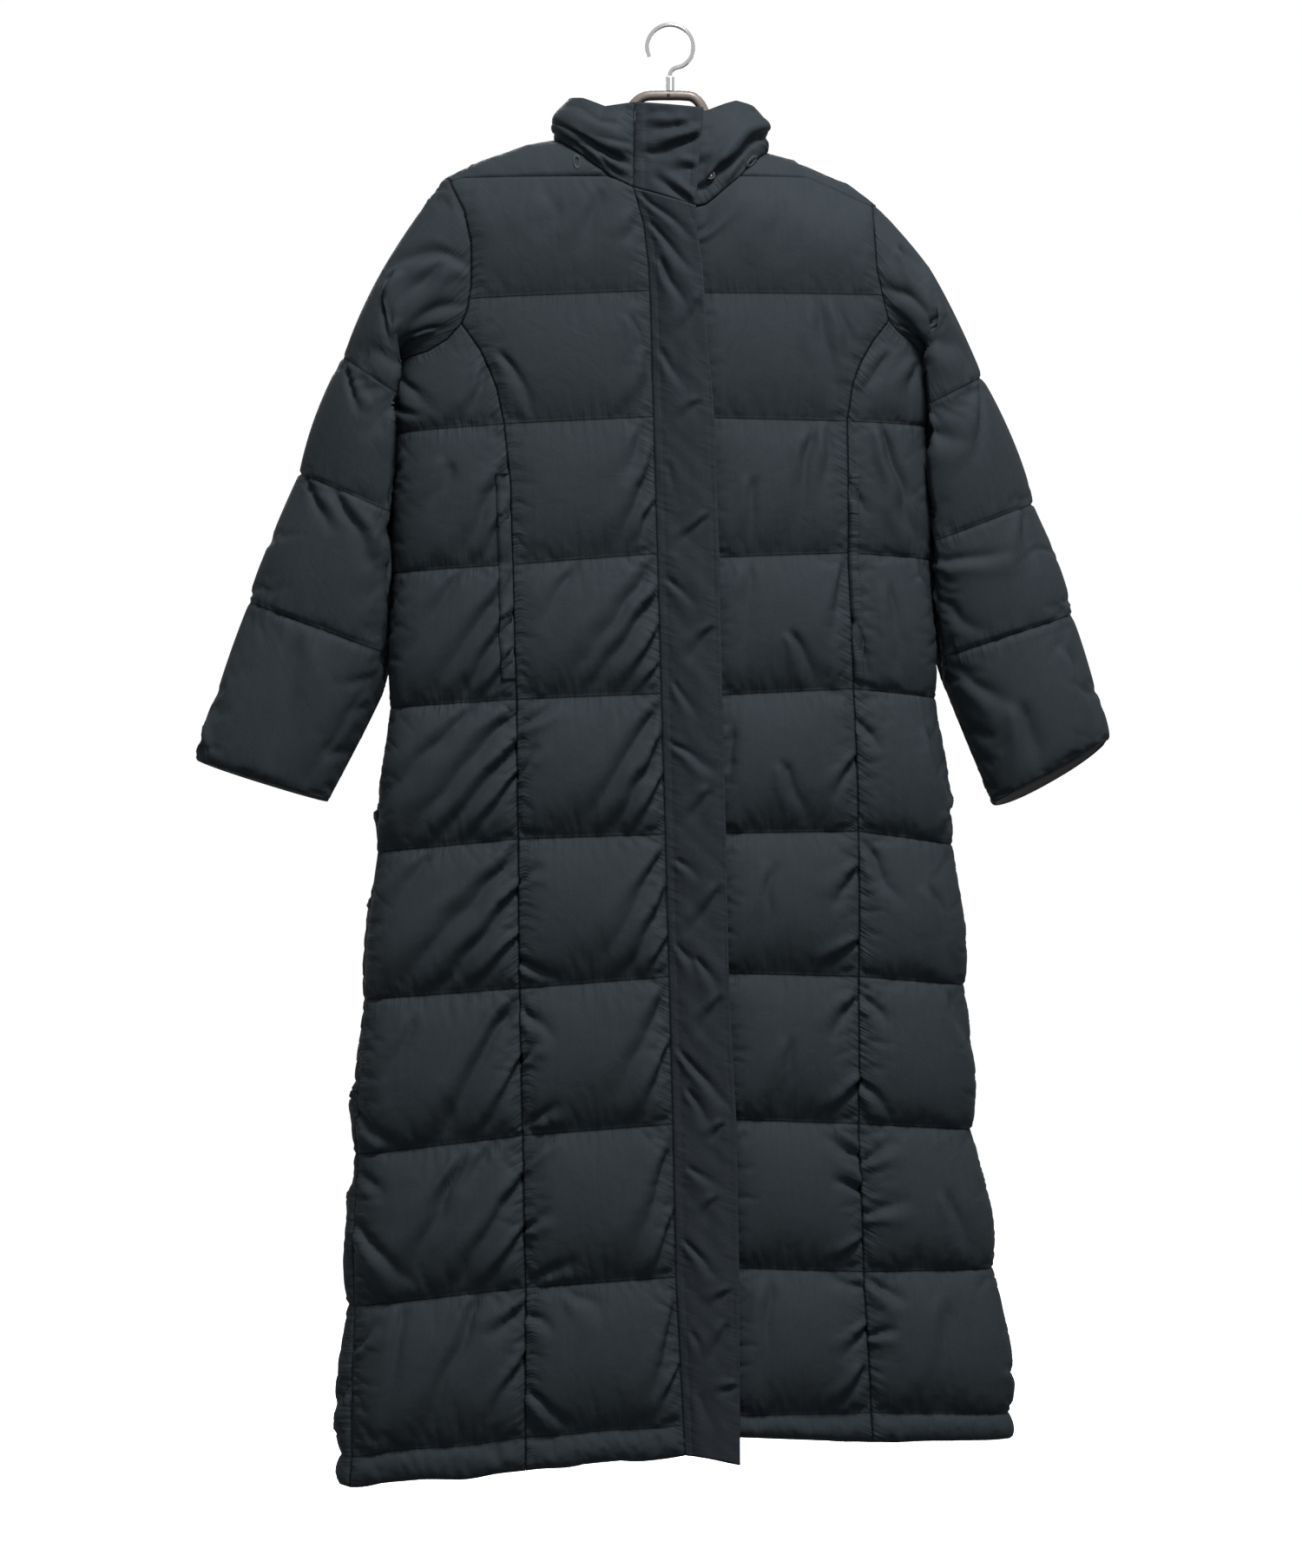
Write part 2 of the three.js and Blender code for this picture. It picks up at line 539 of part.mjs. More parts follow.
// The part of the back that lies in front of the ridge, down to the forward shoulder seam
const YOKE_STEPS = [0, 0.35, 0.7, 1];
function yoke(side, tops, frontEdge) {
  const isRight = side === 'right';
  const last = tops.length - 1;
  const outermost = SHOULDER_COLUMNS + 1;
  const seam = isRight ? frontEdge.slice(0, outermost) : frontEdge.slice(-outermost).reverse();
  const rows = YOKE_STEPS.map((g) => {
    const nodes = [];
    for (let j = 0; j <= SHOULDER_COLUMNS; j++) {
      const top = isRight ? tops[j] : tops[last - j];
      const down = 1 - Math.cos(g * Math.PI / 2);
      const x = lerp(top.x, seam[j].point.x, lerp(g, down, j / SHOULDER_COLUMNS));
      const z = lerp(top.z, seam[j].point.z + GAP, down);
      const point = bodyPoint(frontArc(x, z), z);
      const inner = j > 0 && j < SHOULDER_COLUMNS ? 1 : 0;
      const rise = g === 1 ? 0 : channelRise(YOKE_START + (1 - YOKE_START) * g);
      const edge = j === 0 ? 0 : seamRise(20 + 14 * j);
      const wall = g === 0
        ? SEAM_WALL + YOKE_PUFF * channelRise(YOKE_START) * edge * inner
        : SEAM_WALL + YOKE_PUFF * rise * edge * inner;
      nodes.push({ point, normal: bodyNormal(point), wall });
    }
    return isRight ? nodes : nodes.reverse();
  });
  return rows;
}

const centreRight = frontCentre('right');
const centreLeft = frontCentre('left');
const sideRight = frontSide('right');
const sideLeft = frontSide('left');
const tops = backTops();
const lowerBack = backLower();
const upperBack = backUpper(tops, lowerBack[0]);
const yokeRight = yoke('right', tops, centreRight[0]);
const yokeLeft = yoke('left', tops, centreLeft[0]);

// The ridge row is shared by the back and the yokes
for (let j = 0; j <= SHOULDER_COLUMNS; j++) {
  yokeRight[0][j] = upperBack[0][j];
  yokeLeft[0][SHOULDER_COLUMNS - j] = upperBack[0][tops.length - 1 - j];
}

// A wall's patches are listed as seen from outside: rows downwards, columns to the right
const mirrored = (patch) => patch.map((row) => [...row].reverse());
addMesh('front_centre_right', wallGeometry([centreRight]), 'shell');
addMesh('front_side_right', wallGeometry([sideRight]), 'shell');
addMesh('front_centre_left', wallGeometry([centreLeft]), 'shell');
addMesh('front_side_left', wallGeometry([sideLeft]), 'shell');
addMesh('back', wallGeometry([mirrored(upperBack), mirrored(lowerBack), yokeRight, yokeLeft]), 'shell');

// Edge of the armhole, from the underarm up the front, over the ridge and down the back
const ARM_ROWS = 3;          // rows of the lower back above the underarm
function armholeLoop(side) {
  const isRight = side === 'right';
  const atEdge = (row) => (isRight ? row[0] : row.at(-1));
  const low = isRight ? sideRight[0] : [...sideLeft[0]].reverse();
  const front = (isRight ? centreRight : centreLeft).slice(0, STEPS.length).map(atEdge).reverse();
  const over = (isRight ? yokeRight : yokeLeft).slice(0, -1).map(atEdge).reverse();
  const behind = upperBack.slice(1).map(atEdge);
  const under = lowerBack.slice(1, ARM_ROWS + 1).map(atEdge);
  const top = low.length + front.length + over.length - 1;
  return { nodes: [...low, ...front, ...over, ...behind, ...under], top };
}

// Directions that lead off a piece at its edge, within its surface, towards a place
function leadingOff(nodes, place) {
  return nodes.map((node, i) => {
    const before = nodes[Math.max(i - 1, 0)].point;
    const after = nodes[Math.min(i + 1, nodes.length - 1)].point;
    const away = after.clone().sub(before).cross(node.normal).normalize();
    return away.dot(place.clone().sub(node.point)) < 0 ? away.negate() : away;
  });
}

// Smooth value of a table's column at a row number with a fraction
function smoothRow(table, place, column) {
  const i = clamp(Math.floor(place), 0, table.length - 2);
  const t = place - i;
  const at = (k) => table[clamp(k, 0, table.length - 1)][column];
  const [p0, p1, p2, p3] = [at(i - 1), at(i), at(i + 1), at(i + 2)];
  return 0.5 * (2 * p1 + (p2 - p0) * t + (2 * p0 - 5 * p1 + 4 * p2 - p3) * t * t
    + (3 * p1 - p0 - 3 * p2 + p3) * t * t * t);
}

// Point of a sleeve's hollow: an oval ring whose long way runs from its inner to its outer edge
const SLEEVE_ROUNDNESS = 2.2;
const ovalPower = (v) => Math.sign(v) * Math.abs(v) ** (2 / SLEEVE_ROUNDNESS);
function sleeveRingPoint(side, place, angle) {
  const value = (column) => smoothRow(SLEEVE[side], place, column);
  const outer = new THREE.Vector3(value('outX'), 0, value('outZ'));
  const inner = new THREE.Vector3(value('inX'), 0, value('inZ'));
  const middle = outer.clone().add(inner).multiplyScalar(0.5);
  const reach = outer.clone().sub(middle);
  reach.setLength(reach.length() - SEAM_WALL);
  const point = middle.addScaledVector(reach, -ovalPower(Math.cos(angle)));
  point.y = value('y') - (value('depth') / 2 - SEAM_WALL) * ovalPower(Math.sin(angle));
  const cuff = clamp(place - SLEEVE[side].length + 2, 0, 1) ** 2;
  point.z -= cuff * CUFF_DROP[side] * Math.max(0, -Math.sin(angle));
  return point;
}

// Move a point sideways out of the room that the body's padded side needs
function clearOfBody(point, side) {
  if (point.z > UNDERARM[side]) return point;
  const { middle, half: halfWidth, depth } = section(point.z);
  const form = Math.abs((point.x - middle) / (halfWidth + SIDE_CLEARANCE.x)) ** ROUNDNESS
    + Math.abs(point.y / (depth + SIDE_CLEARANCE.y)) ** ROUNDNESS;
  if (form >= 1) return point;
  const scale = form ** (-1 / ROUNDNESS);
  return new THREE.Vector3(middle + (point.x - middle) * scale, point.y * scale, point.z);
}

const SLEEVE_STEPS = [0, 0.2, 0.45, 0.72, 0.9, 1];
function sleeve(side) {
  const { nodes, top } = armholeLoop(side);
  const place = new THREE.Vector3(side === 'right' ? -420 : 400, 0, -235);
  const away = leadingOff(nodes, place);
  const loop = nodes.map((node, i) => ({
    ...node, point: node.point.clone().addScaledVector(away[i], SEAM_GAP),
  }));
  const lengths = [0];
  for (let i = 1; i < loop.length; i++) {
    lengths.push(lengths[i - 1] + loop[i].point.distanceTo(loop[i - 1].point));
  }
  const angles = lengths.map((length, i) => (i <= top
    ? Math.PI * length / lengths[top]
    : Math.PI * (1 + (length - lengths[top]) / (lengths.at(-1) - lengths[top]))));
  const seamTurn = 0.006;    // keeps the edges of the underarm seam apart
  const places = [];
  for (let channel = 0; channel < SLEEVE[side].length; channel++) {
    for (const step of SLEEVE_STEPS.slice(channel === 0 ? 0 : 1)) places.push({ place: channel + step, step });
  }
  const grid = places.map(({ place }) => loop.map((node, i) => {
    const angle = clamp(angles[i], seamTurn, 2 * Math.PI - seamTurn);
    if (place === 0) return node.point;
    const ring = sleeveRingPoint(side, Math.max(place - 1, 0), angle);
    if (place >= 1) return clearOfBody(ring, side);
    const height = angle < Math.PI / 2 || angle > 1.5 * Math.PI ? UNDERARM_FOLD : CAP_LIFT;
    const fold = height * Math.abs(Math.cos(angle)) * 4 * place * (1 - place);
    return clearOfBody(node.point.clone().lerp(ring, place).addScaledVector(away[i], fold), side);
  }));
  const last = loop.length - 1;
  return grid.map((row, r) => row.map((point, i) => {
    if (r === 0) return { point, normal: loop[i].normal, wall: SEAM_WALL };
    const ahead = grid[Math.min(r + 1, grid.length - 1)][i].clone().sub(grid[r - 1][i]);
    const across = row[Math.min(i + 1, last)].clone().sub(row[Math.max(i - 1, 0)]);
    const normal = ahead.cross(across).normalize();
    const centre = row.reduce((sum, p) => sum.add(p), new THREE.Vector3()).divideScalar(row.length);
    if (normal.dot(point.clone().sub(centre)) < 0) normal.negate();
    const { step } = places[r];
    const rise = step === 1 ? 0 : channelRise(step);
    const outside = 0.5 - 0.5 * Math.cos(angles[i]);
    const seam = seamRise(Math.min(lengths[i], lengths.at(-1) - lengths[i]) + 6);
    return { point, normal, wall: SEAM_WALL + SLEEVE_PUFF * rise * lerp(0.15, 1, outside) * seam };
  }));
}
addMesh('sleeve_right', wallGeometry([mirrored(sleeve('right'))]), 'shell');
addMesh('sleeve_left', wallGeometry([sleeve('left')]), 'shell');

// Edge of the neck, from the right front round the back to the left front
function neckLoop() {
  const lastTop = tops.length - 1;
  const right = [centreRight[0].at(-1), centreRight[0].at(-2), yokeRight[2].at(-1), yokeRight[1].at(-1)];
  const behind = upperBack[0].slice(SHOULDER_COLUMNS, lastTop - SHOULDER_COLUMNS + 1);
  const left = [yokeLeft[1][0], yokeLeft[2][0], centreLeft[0][2], centreLeft[0][1], centreLeft[0][0]];
  const nodes = [...right, ...behind, ...left];
  const halved = nodes.flatMap((node, i) => {
    if (i === 0) return [node];
    const before = nodes[i - 1];
    const between = {
      point: before.point.clone().lerp(node.point, 0.5),
      normal: before.normal.clone().lerp(node.normal, 0.5),
      wall: SEAM_WALL,
    };
    return [between, node];
  });
  const away = leadingOff(halved, new THREE.Vector3(COLLAR_TOP.x, 0, -60));
  return halved.map((node, i) => ({
    ...node, wall: SEAM_WALL, point: node.point.clone().addScaledVector(away[i], SEAM_GAP),
  }));
}

// Point of the collar's top edge above a point of the neck
function collarTop(base) {
  const angle = Math.atan2(base.y / 52, (base.x - COLLAR_TOP.x) / 90);
  const x = COLLAR_TOP.x + COLLAR_TOP.halfWidth * Math.cos(angle);
  const y = COLLAR_TOP.halfDepth * Math.sin(angle);
  const front = sample(COLLAR_HEIGHT, 'x', x, 'z');
  return new THREE.Vector3(x, y, y < 0 ? front : lerp(front, COLLAR_BACK_HEIGHT, Math.sin(angle)));
}

function collar() {
  const loop = neckLoop();
  const lengths = [0];
  for (let i = 1; i < loop.length; i++) {
    lengths.push(lengths[i - 1] + loop[i].point.distanceTo(loop[i - 1].point));
  }
  const grid = COLLAR_STEPS.map((v) => loop.map((node) => node.point.clone().lerp(collarTop(node.point), v)));
  const last = loop.length - 1;
  return grid.map((row, r) => row.map((point, i) => {
    if (r === 0) return { point, normal: loop[i].normal, wall: SEAM_WALL };
    const up = grid[Math.min(r + 1, grid.length - 1)][i].clone().sub(grid[r - 1][i]);
    const round = row[Math.min(i + 1, last)].clone().sub(row[Math.max(i - 1, 0)]);
    const normal = up.cross(round).normalize();
    if (normal.dot(point.clone().sub(new THREE.Vector3(COLLAR_TOP.x, 0, point.z))) < 0) normal.negate();
    const v = COLLAR_STEPS[r];
    const rise = v === 1 ? 0 : channelRise(1 - v) * seamRise(Math.min(lengths[i], lengths[last] - lengths[i]));
    return { point, normal, wall: SEAM_WALL + COLLAR_PUFF * rise };
  })).reverse();
}
const collarPatch = collar();
addMesh('collar', wallGeometry([mirrored(collarPatch)]), 'shell');

// Flat strips in front of the body and of the collar, from one front x to another, lifted off the hollow
function stripNode(x, z, lift, wall) {
  const point = bodyPoint(frontArc(x, z), z);
  const normal = bodyNormal(point);
  return { point: point.clone().addScaledVector(normal, lift), normal, wall };
}
function collarStripNode(x, neckZ, v, lift, wall) {
  const base = bodyPoint(frontArc(x, neckZ), neckZ);
  const point = base.clone().lerp(collarTop(base), v);
  const normal = bodyNormal(base).lerp(new THREE.Vector3(0, -1, 0), Math.min(1, 2 * v)).normalize();
  return { point: point.addScaledVector(normal, lift), normal, wall };
}
const frontRows = rowsFrom(0, 'frontR', 'frontL');
const PLACKET_TOP = { seam: -173, edge: -193 };
const PLACKET_HEM = { seam: -1480, edge: -1489 };
const LEFT_FRONT_TOP = -195;

function placket() {
  const rows = frontRows.map((row, r) => {
    const isHem = r === frontRows.length - 1;
    return { seam: isHem ? PLACKET_HEM.seam : row.left, edge: isHem ? PLACKET_HEM.edge : row.left };
  });
  const above = STEPS.slice(0, -1).map((v) => ({
    seam: lerp(PLACKET_TOP.seam, rows[0].seam, v),
    edge: lerp(PLACKET_TOP.edge, rows[0].edge, v),
  }));
  return [...above, ...rows].map(({ seam, edge }) => PLACKET_LIFT.map(({ f, lift }) => {
    const z = lerp(seam, edge, f);
    const x = lerp(sample(PLACKET, 'z', z, 'seam') + half, sample(PLACKET, 'z', z, 'edge'), f);
    return stripNode(x, z, lift, FLAT_WALL);
  }));
}
addMesh('placket', wallGeometry([placket()]), 'placket');

function collarFlap() {
  return [...COLLAR_STEPS].reverse().map((v) => PLACKET_LIFT.map(({ f, lift }) => {
    const neckZ = lerp(PLACKET_TOP.seam, PLACKET_TOP.edge, f);
    const x = lerp(sample(PLACKET, 'z', neckZ, 'seam') + half, sample(PLACKET, 'z', neckZ, 'edge'), f);
    const node = collarStripNode(x, neckZ, v, lift, FLAT_WALL);
    node.point.x += COLLAR_FLAP_LEAN * v * f;
    node.point.z += GAP * 1.5;
    return node;
  }));
}
addMesh('collar_flap', wallGeometry([collarFlap()]), 'placket');

function underlap() {
  const across = [0, 0.5, 1];
  const startX = (z) => sample(PLACKET, 'z', z, 'seam') + UNDERLAP_START;
  const endX = (z) => sample(PLACKET, 'z', z, 'edge') - PLACKET_COVERS - half;
  const neckZ = LEFT_FRONT_TOP;
  const down = frontRows.map((row) => across.map((f) => {
    const z = row.right;
    return stripNode(lerp(startX(z), endX(z), f), z, 0, FLAT_WALL);
  }));
  const above = [0.25, 0.5, 0.75].map((v) => across.map((f) => {
    const z = lerp(neckZ, LINES[0].frontL, v);
    return stripNode(lerp(startX(z), endX(z), f), z, 0, FLAT_WALL);
  }));
  const onCollar = [...COLLAR_STEPS].reverse().map((v) => across.map((f) => (
    collarStripNode(lerp(startX(neckZ), endX(neckZ) - 1, f), neckZ, v, 0, FLAT_WALL)
  )));
  return [...onCollar, ...above, ...down];
}
addMesh('underlap', wallGeometry([underlap()]), 'placket');

// Welts lie on the outer points of the side panels, beside the princess seams
function pocketWelt(side) {
  const panel = side === 'right' ? sideRight : sideLeft;
  const rows = panel.filter((row) => {
    const { z } = (side === 'right' ? row.at(-1) : row[0]).point;
    return z < POCKET.top && z > POCKET.bottom;
  });
  return rows.map((row) => {
    const beside = side === 'right' ? row.slice(-2) : row.slice(0, 2);
    return beside.map((node) => ({
      point: outerPoint(node).addScaledVector(node.normal, POCKET.clear),
      normal: node.normal,
      wall: POCKET.wall,
    }));
  });
}
addMesh('pocket_welt_right', wallGeometry([pocketWelt('right')]), 'placket');
addMesh('pocket_welt_left', wallGeometry([pocketWelt('left')]), 'placket');

// Place on the cloth as seen straight from the front
function onCloth(x, z) {
  const ray = new THREE.Raycaster(new THREE.Vector3(x, -400, z), new THREE.Vector3(0, 1, 0));
  const hit = ray.intersectObjects(coat.children)[0];
  return { point: hit.point, normal: hit.face.normal };
}
function seatOn({ point, normal }, mesh, clear) {
  mesh.quaternion.setFromUnitVectors(new THREE.Vector3(0, 0, 1), normal);
  mesh.position.copy(point).addScaledVector(normal, clear);
}

function snapGeometry() {
  const { radius: r, height: h } = SNAP;
  const profile = [
    [0, 0], [r, 0], [r, 0.6 * h], [0.85 * r, h], [0.55 * r, h],
    [0.45 * r, 0.5 * h], [0.25 * r, 0.5 * h], [0.2 * r, 0.9 * h], [0, 0.9 * h],
  ];
  return new THREE.LatheGeometry(profile.map(([x, y]) => new THREE.Vector2(x, y)), 20).rotateX(Math.PI / 2);
}
seatOn(onCloth(SNAP.x, SNAP.z), addMesh('snap_socket', snapGeometry(), 'snap'), 2 * GAP);

for (const side of ['right', 'left']) {
  const { halfWidth, halfHeight, cord } = HOOD_LOOP;
  const loop = new THREE.TorusGeometry(halfWidth, cord, 6, 14).scale(1, halfHeight / halfWidth, 1);
  const seat = onCloth(HOOD_LOOPS[side].x, HOOD_LOOPS[side].z);
  seatOn(seat, addMesh(`hood_loop_${side}`, loop, 'cord'), cord + 2 * GAP);
}

// Hanger: one bent band with rounded edges, and a hook on top of its arch
function hangerBand() {
  const arm = (x) => ({ x, z: ridge(x) - HANGER_ARMS.underRidge });
  const path = [...HANGER_ARMS.right.map(arm), ...HANGER_ARCH, ...HANGER_ARMS.left.map(arm)];
  const offset = (point, i, by) => {
    const before = path[Math.max(i - 1, 0)];
    const after = path[Math.min(i + 1, path.length - 1)];
    const way = new THREE.Vector2(after.x - before.x, after.z - before.z).normalize();
    return new THREE.Vector2(point.x - way.y * by, point.z + way.x * by);
  };
  const { height, depth, bevel } = HANGER_BAND;
  const inset = height / 2 - bevel;
  const outline = [
    ...path.map((point, i) => offset(point, i, inset)),
    ...path.map((point, i) => offset(point, i, -inset)).reverse(),
  ];
  const band = new THREE.ExtrudeGeometry(new THREE.Shape(outline), {
    depth: depth - 2 * bevel, bevelThickness: bevel, bevelSize: bevel, bevelSegments: 3, curveSegments: 1,
  });
  return band.translate(0, 0, bevel - depth / 2).rotateX(Math.PI / 2);
}
addMesh('hanger_body', hangerBand(), 'hanger');

function hangerHook() {
  const { wire, bend, ferruleTop } = HOOK;
  const centreZ = wire / 2 - bend;
  const points = [[0, ferruleTop + GAP], [0, -49], [3, -44], [14, -40], [bend * 0.93, -31]];
  for (let i = 0; i <= 10; i++) {
    const angle = Math.PI * (-0.02 + i * 0.115);
    points.push([bend * Math.cos(angle), centreZ + bend * Math.sin(angle)]);
  }
  const path = new THREE.CatmullRomCurve3(points.map(([x, z]) => new THREE.Vector3(x, 0, z)));
  const round = new THREE.Shape().absarc(0, 0, wire / 2, 0, 2 * Math.PI);
  return new THREE.ExtrudeGeometry(round, { steps: 40, bevelEnabled: false, curveSegments: 5, extrudePath: path });
}
addMesh('hanger_hook', hangerHook(), 'chrome');

const ferruleHeight = HOOK.ferruleTop - HOOK.ferruleBottom - GAP;
const ferrule = new THREE.CylinderGeometry(HOOK.ferruleRadius, HOOK.ferruleRadius, ferruleHeight, 16);
ferrule.rotateX(Math.PI / 2);
addMesh('hanger_ferrule', ferrule, 'chrome').position.set(0, 0, HOOK.ferruleBottom + ferruleHeight / 2);

export default coat;
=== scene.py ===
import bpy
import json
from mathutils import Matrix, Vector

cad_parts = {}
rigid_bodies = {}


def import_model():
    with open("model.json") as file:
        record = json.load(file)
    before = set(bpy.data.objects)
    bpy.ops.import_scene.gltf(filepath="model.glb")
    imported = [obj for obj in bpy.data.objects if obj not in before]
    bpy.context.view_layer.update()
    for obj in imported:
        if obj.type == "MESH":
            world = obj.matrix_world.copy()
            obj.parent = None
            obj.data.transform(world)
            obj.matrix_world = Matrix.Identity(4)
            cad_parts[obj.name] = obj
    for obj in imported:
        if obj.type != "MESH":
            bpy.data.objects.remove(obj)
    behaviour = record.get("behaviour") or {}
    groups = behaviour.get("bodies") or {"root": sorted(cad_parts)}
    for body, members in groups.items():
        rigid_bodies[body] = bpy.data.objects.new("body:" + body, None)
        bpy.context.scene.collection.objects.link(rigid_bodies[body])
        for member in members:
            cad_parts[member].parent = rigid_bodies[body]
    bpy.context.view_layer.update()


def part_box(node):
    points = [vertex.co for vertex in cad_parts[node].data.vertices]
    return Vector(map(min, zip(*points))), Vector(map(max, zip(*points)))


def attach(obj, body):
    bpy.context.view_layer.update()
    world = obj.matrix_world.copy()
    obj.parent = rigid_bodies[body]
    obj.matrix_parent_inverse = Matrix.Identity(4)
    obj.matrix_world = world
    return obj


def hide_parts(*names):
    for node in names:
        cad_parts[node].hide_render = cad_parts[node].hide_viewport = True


bl_info = {
    "name": "Long puffer coat",
    "version": (1, 0, 0),
    "blender": (4, 5, 0),
    "location": "View3D > Sidebar > Coat",
    "description": "Quilted coat with padded cloth panels, hung on a plain hanger, and its studio",
    "category": "Object",
}

import json
import math

import bpy
import numpy as np
from bpy.props import FloatProperty, IntProperty, PointerProperty, StringProperty
from mathutils import Vector

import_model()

# Lengths in these tables and in the functions that shape the cloth are millimetres.
# X runs to the viewer's right, Y away from the viewer, Z up; right and left are the wearer's.
MM = 0.001
GAP = 0.3             # between pieces at a seam
SEAM_GAP = 0.35       # at the curved seams of sleeves and collar
SEAM_WALL = 4.0       # padded wall where it is stitched down
FLAT_WALL = 3.0       # unpadded placket, underlap and welts
CHANNEL_FILL = {"channel": [-2, -1, 0, 1, 2, 3, 8], "share": [0.5, 0.38, 0.46, 0.58, 0.74, 0.92, 1]}
PUFF_REACH = 26.0     # distance over which a channel rises from a seam
PRINCESS_HOLD = 0.62  # share of a channel's rise that is left at a princess seam
SIDE_HOLD = 0.3       # and at a side seam
HOLD_FADE = 60.0      # distance below an armhole over which the seams gain it
HEM_PUFF = 4.0
YOKE_PUFF = 7.0
BACK_HEM_LIFT = 15.0
ROUNDNESS = 2.5
SHOULDER_ROUND = 75.0
HALF = GAP / 2
CHANNEL_HEIGHT = 140.0         # usual height of a channel, on which creases and tucks are measured
COLLAR_CREASE_HEIGHT = 85.0
COLLAR_LINE_HEIGHT = 90.0
FAR = 500.0                    # a distance at which no seam is felt
# The dark of a stitched groove is a painted shadow line in the cloth's colour, this wide
STITCH_WIDTH = 1.6             # of the dark groove where cloth is stitched down
LEAST_WALL = 2.5               # of a padded panel under its creases
HEM_WAVES = {"start": -1440, "grow_over": 60, "height": 2.2}
SLEEVE_AWAY = {"right": (-420, 0, -235), "left": (400, 0, -235)}   # places towards which sleeves lead off
# Middle of the photo's frame, on the plane where its scale is true, and its height there
PICTURE = {"x": -19.8, "y": -20, "z": -787.5, "height": 1625.4}
CLOTH_SETTINGS = {"quality": 4, "mass": 0.2, "bending_stiffness": 0.15, "use_pressure": True}

BODY = {
    "z": [-60, -357, -416, -560, -702, -849, -998, -1150, -1307, -1461, -1530],
    "left": [-277, -277, -281, -283, -286, -299, -313, -322, -329, -336, -342],
    "right": [264, 264, 263, 265, 271, 288, 301, 308, 333, 350, 353],
    "depth": [54, 54, 55, 55, 53, 50, 48, 46, 44, 43, 43],
}
RIDGE = {"x": [-240, -10, 210], "z": [-164, -87, -187]}
SHOULDER_SEAM_Z = -162
SHOULDER_UNDER_RIDGE = 6

# Heights of the quilting lines at each vertical seam, from the chest to the hem edge
LINES = {
    "sideR": [-286, -424, -569, -709, -859, -1011, -1172, -1329, -1484, -1515],
    "princessR": [-286, -416, -561, -700, -844, -998, -1150, -1307, -1462, -1496],
    "frontR": [-279, -409, -550, -694, -839, -986, -1138, -1296, -1449, -1480],
    "frontL": [-281, -410, -554, -696, -838, -982, -1133, -1286, -1440, -1462],
    "princessL": [-282, -413, -549, -689, -836, -986, -1138, -1291, -1437, -1468],
    "sideL": [-282, -416, -555, -699, -852, -997, -1147, -1290, -1441, -1466],
}
CHANNELS = len(LINES["sideR"]) - 1
HEM = CHANNELS - 1

ARMHOLE_FRONT = {
    "right": {"z": [-168, -196, -229, -274, -298, -312.65], "x": [-226, -212, -205, -205, -209, -215]},
    "left": {"z": [-186, -214, -256, -283, -308.86], "x": [208, 210, 213, 219, 225]},
}
ARMHOLE_BACK = {
    "right": {"z": [-163, -200, -250, -300, -330, -346, -353], "x": [-233, -222, -217, -224, -240, -260, -277]},
    "left": {"z": [-187, -220, -260, -305, -334, -350, -357], "x": [208, 209, 213, 220, 234, 250, 264]},
}
ARMHOLE_LOW = {
    "right": {"x": [-277, -259, -242, -226, -215], "z": [-353, -345.5, -340, -328, -312.65]},
    "left": {"x": [225, 232, 243, 254, 264], "z": [-308.86, -320, -331, -345, -357]},
}
UNDERARM = {"right": -353, "left": -357}
PRINCESS = {
    "right": {
        "z": [-312.65, -322, -339, -357, -380, -416, -479, -561, -700, -998, -1150, -1307, -1496],
        "x": [-215, -208, -196, -187, -178, -171, -164, -162, -158, -155, -152, -149, -149],
    },
    "left": {
        "z": [-308.86, -331, -352, -376, -413, -561, -700, -849, -1150, -1307, -1468],
        "x": [225, 208, 196, 187, 182, 183, 189, 194, 194, 200, 209],
    },
}
SIDE_SHIFT = {
    "right": {"z": [-350, -860, -1250, -1520], "shift": [0, 2, 12, 20]},
    "left": {"z": [-350, -860, -1520], "shift": [0, -8, -20]},
}

PLACKET = {
    "z": [-172, -212, -254, -299, -409, -550, -694, -839, -986, -1138, -1296, -1489],
    "seam": [-38, -27, -22, -20, -17, -13, -9, -5, -1, 3, 6, 16],
    "edge": [25, 27, 33, 36, 45, 50, 53, 57, 60, 68, 71, 72],
}
PLACKET_LIFT = {"f": [0, 0.3, 0.65, 1], "lift": [0.4, 7, 13, 17]}
FLAT_CREASES = 1.2    # creases of the unpadded strips beside those of the padded panels
PLACKET_COVERS = 12
UNDERLAP_START = 13
PLACKET_TOP = (-173, -193)
PLACKET_HEM = (-1480, -1489)
LEFT_FRONT_TOP = -195

NECK_FRONT = {"x": [-62, -38, 13, 36, 70], "z": [-162, -173, -196, -191, -162]}
NECK_SIDE = {"right": -115, "left": 96}
NECK_BACK = (-8, -132)

COLLAR_TOP = {"x": -9, "halfWidth": 92, "halfDepth": 46}
COLLAR_HEIGHT = {"x": [-101, -88, -66, -35, 36, 55, 66, 83], "z": [-76, -78, -88, -84, -93, -85, -81, -84]}
COLLAR_BACK_HEIGHT = -93
COLLAR_PUFF = 7.0
COLLAR_FLAP_LEAN = 11
COLLAR_FOLD = {"f": [0, 0.1, 0.22, 0.5, 0.75, 0.86, 0.94, 1], "v": [0.64, 0.72, 0.78, 0.7, 0.62, 0.62, 0.78, 0.6]}
COLLAR_BULGE = 5.0
COLLAR_CREASES = 0.45    # its creases beside those of the panels
FITTING_SINK = 3.5       # how far the collar is pushed back at most behind a fitting
# Distances from a fitting within which the collar is flat, and beyond which it is as it was
FITTING_FLAT = {"snap_socket": (9, 22), "hood_loop_left": (8, 18), "hood_loop_right": (8, 18)}

